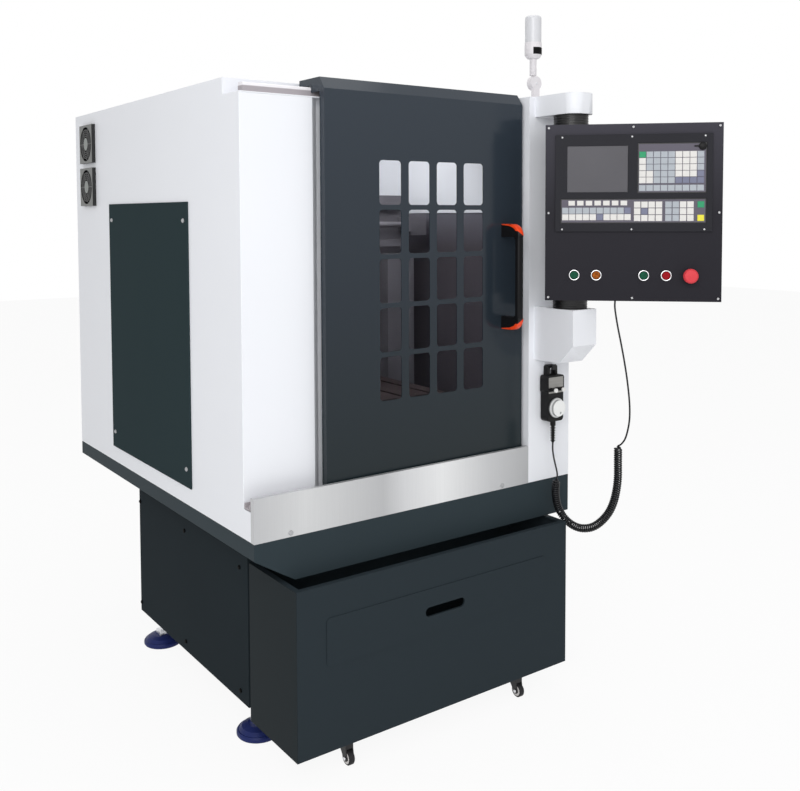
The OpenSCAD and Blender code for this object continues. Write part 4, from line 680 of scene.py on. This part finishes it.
# Door: webs in the corners of the grip, and the narrow notch in the hood's left cheek
webs = Bag()
GRIP_X = (795.3, 814.7)
GRIP_FRONT = -38.4
GRIP_INNER = -31
DOOR_SIDE = 17.9
FOOT_H = 20
FILLET = 7
for end, sign in ((1074, 1), (1340, -1)):
    outline = [(DOOR_SIDE, end - 2 * sign), (DOOR_SIDE, end + FOOT_H * sign)]
    for k in range(7):
        a = math.radians(15 * k)
        outline.append((GRIP_INNER - FILLET * math.sin(a), end + sign * (FOOT_H + FILLET * (1 - math.cos(a)))))
    outline.append((GRIP_FRONT, end + sign * (FOOT_H + FILLET)))
    outline.append((GRIP_FRONT, end - 2 * sign))
    n = len(outline)
    pts = [at(x, y, z) for x in GRIP_X for y, z in outline]
    sides = [[i, (i + 1) % n, n + (i + 1) % n, n + i] for i in range(n)]
    webs.add(pts, [list(range(n - 1, -1, -1)), list(range(n, 2 * n))] + sides)
webs.make("grip_webs", "door", "black_plastic", grip_black)
cheek = Bag()
CHEEK_X = (213, 214.5)
for y0, y1, z0, z1 in ((116, 140, 1700, 1708), (113, 116, 1700, 1714), (81, 113, 1707.5, 1714), (78, 81, 1690, 1714)):
    cheek.slab(*CHEEK_X, z0, z1, y0, y1, at)
cheek.make("hood_cheek", "door", "door_paint", door_paint)

# Signal lamp: sounder grille in the base and a screw in the folding joint
LAMP = (956, 60.3)
grille = Bag()
verts, faces = [], []
levels = []
GRILLE_Z = 1851.5
SLOT_PITCH = 3.5
GROOVE_R, RIDGE_R = 25.2, 25.7
GRILLE_HALF = 42
STEPS = 14
for k in range(6):
    z = GRILLE_Z + SLOT_PITCH * k
    levels += [(z, GROOVE_R), (z + 0.4, RIDGE_R), (z + 2.2, RIDGE_R), (z + 2.6, GROOVE_R)]
for z, r in levels:
    for i in range(STEPS + 1):
        a = math.radians(-GRILLE_HALF + 2 * GRILLE_HALF * i / STEPS)
        verts.append(at(LAMP[0] + r * math.sin(a), LAMP[1] - r * math.cos(a), z))
for k in range(len(levels) - 1):
    for i in range(STEPS):
        j = k * (STEPS + 1) + i
        faces.append([j, j + 1, j + STEPS + 2, j + STEPS + 1])
grille.add(verts, faces)
grille_black = paint("grille_black", srgb(10, 10, 11), 0.5, 0.1, 0.08, 8, 1200, 0.1)
grille.make("lamp_grille", "lamp", "black_plastic", grille_black)
pin = Bag()
pin.lathe([(3.6, 0.05), (3.6, 1.0), (2.6, 1.6), (0.2, 1.7)], at(LAMP[0], 45, 1768), (0, -1, 0), 16)
pin.make("lamp_screw", "base", "bright_steel", bright, True)

# Fans: grey discs on the hubs of the guards
hub_grey = paint("hub_disc", srgb(122, 127, 124), 0.4, 0.4, 0.05, 30, 900, 0.05)
discs = Bag()
for z in (1619, 1478):
    discs.lathe([(20.4, 0), (20.4, 0.2), (19.6, 0.35), (0.3, 0.35)], at(-11.5, 1168, z), (-1, 0, 0), 32)
discs.make("fan_discs", "base", "bright_steel", hub_grey)

# Casters: pale wheel faces and axle bolts
wheel_face = paint("wheel_face", srgb(226, 222, 220), 0.4, 0.4, 0.03, 60, 900, 0.03)
AXLE_Z = 19.3
DISC_OUT = 8
BOLT_OUT = 11.5
WHEELS = (("front_left", 237, -38, "front_wheel_left", "fork_left"),
    ("front_right", 813, -38, "front_wheel_right", "fork_right"),
    ("rear_left", 237, 150, "rear_wheel_left", "tank"),
    ("rear_right", 813, 150, "rear_wheel_right", "tank"))
for name, x, y, body, carrier in WHEELS:
    disc = Bag()
    bolt = Bag()
    for side in (-1, 1):
        out = (side, 0, 0)
        disc.lathe([(9.0, 0), (14.6, 0), (14.6, 0.25), (9.0, 0.25), (9.0, 0)],
            at(x + side * DISC_OUT, y, AXLE_Z), out, 32)
        bolt.lathe([(4.6, 0), (4.6, 2.0), (3.6, 3.0), (0.2, 3.2)], at(x + side * BOLT_OUT, y, AXLE_Z), out, 16)
    disc.make("wheel_face_" + name, body, "wheel_rubber", wheel_face)
    bolt.make("axle_bolts_" + name, carrier, "bright_steel", bright, True)

# Floor and light
WHITE = (1, 1, 1, 1)
FLOOR_HALF = 14
FLOOR_SHOWN = 0.92
SKY_LIGHT = 0.52
SKY_SHOWN = 1.0


def shown(t):
    """1 for rays that come from the camera, from a mirroring surface or through glass."""
    path = t.nodes.new("ShaderNodeLightPath")
    total = path.outputs["Is Camera Ray"]
    for kind in ("Is Glossy Ray", "Is Transmission Ray"):
        node = t.nodes.new("ShaderNodeMath")
        node.operation = "MAXIMUM"
        t.links.new(total, node.inputs[0])
        t.links.new(path.outputs[kind], node.inputs[1])
        total = node.outputs["Value"]
    return total


floor_mat, ft, floor_bsdf = new_material("floor")
ft.links.new(drift(ft, noise(ft, 0.6, 2), (0.93, 0.93, 0.93, 1), (0.95, 0.95, 0.95, 1)),
    floor_bsdf.inputs["Base Color"])
floor_bsdf.inputs["Roughness"].default_value = 0.92
floor_bsdf.inputs["Specular IOR Level"].default_value = 0.0
floor_glow = ft.nodes.new("ShaderNodeEmission")
floor_glow.inputs["Strength"].default_value = 1.0
floor_glow.inputs["Color"].default_value = WHITE
floor_share = ft.nodes.new("ShaderNodeMath")
floor_share.operation = "MULTIPLY"
floor_share.inputs[1].default_value = FLOOR_SHOWN
floor_mix = ft.nodes.new("ShaderNodeMixShader")
ft.links.new(shown(ft), floor_share.inputs[0])
ft.links.new(floor_share.outputs["Value"], floor_mix.inputs["Fac"])
ft.links.new(floor_bsdf.outputs["BSDF"], floor_mix.inputs[1])
ft.links.new(floor_glow.outputs["Emission"], floor_mix.inputs[2])
ft.links.new(floor_mix.outputs["Shader"], ft.nodes["Material Output"].inputs["Surface"])
corners = [(x * FLOOR_HALF, y * FLOOR_HALF, 0) for x, y in ((-1, -1), (1, -1), (1, 1), (-1, 1))]
floor = piece("floor", corners, [[0, 1, 2, 3]], None, floor_mat)

world = bpy.data.worlds.new("world")
bpy.context.scene.world = world
world.use_nodes = True
wt = world.node_tree
background = wt.nodes["Background"]
background.inputs["Color"].default_value = WHITE
background.inputs["Strength"].default_value = SKY_LIGHT
seen = wt.nodes.new("ShaderNodeBackground")
seen.inputs["Color"].default_value = WHITE
seen.inputs["Strength"].default_value = SKY_SHOWN
mix = wt.nodes.new("ShaderNodeMixShader")
wt.links.new(shown(wt), mix.inputs["Fac"])
wt.links.new(background.outputs["Background"], mix.inputs[1])
wt.links.new(seen.outputs["Background"], mix.inputs[2])
wt.links.new(mix.outputs["Shader"], wt.nodes["World Output"].inputs["Surface"])


def area(name, where, target, size, power):
    """Rectangular lamp that points at its target, in metres and watts."""
    data = bpy.data.lights.new(name, "AREA")
    data.shape = "RECTANGLE"
    data.size, data.size_y = size
    data.energy = power
    obj = bpy.data.objects.new(name, data)
    bpy.context.scene.collection.objects.link(obj)
    obj.location = where
    obj.rotation_euler = (Vector(target) - Vector(where)).to_track_quat("-Z", "Y").to_euler()


area("key", (1.9, -4.4, 3.4), (0.1, -0.3, 1.0), (1.6, 1.6), 8)
area("front", (-0.7, -4.6, 2.4), (0, 0, 1.0), (2.4, 2.4), 20)
area("fill", (-2.9, -3.2, 2.6), (-0.2, 0, 1.0), (2.6, 2.6), 82)
area("top", (0.2, 0.2, 4.2), (0.1, 0.2, 1.0), (2.4, 2.4), 28)
area("chamber", (-0.1, 0.0, 1.7), (-0.1, 0.4, 1.2), (0.6, 0.3), 3.0)

bpy.context.scene.view_settings.view_transform = "Standard"
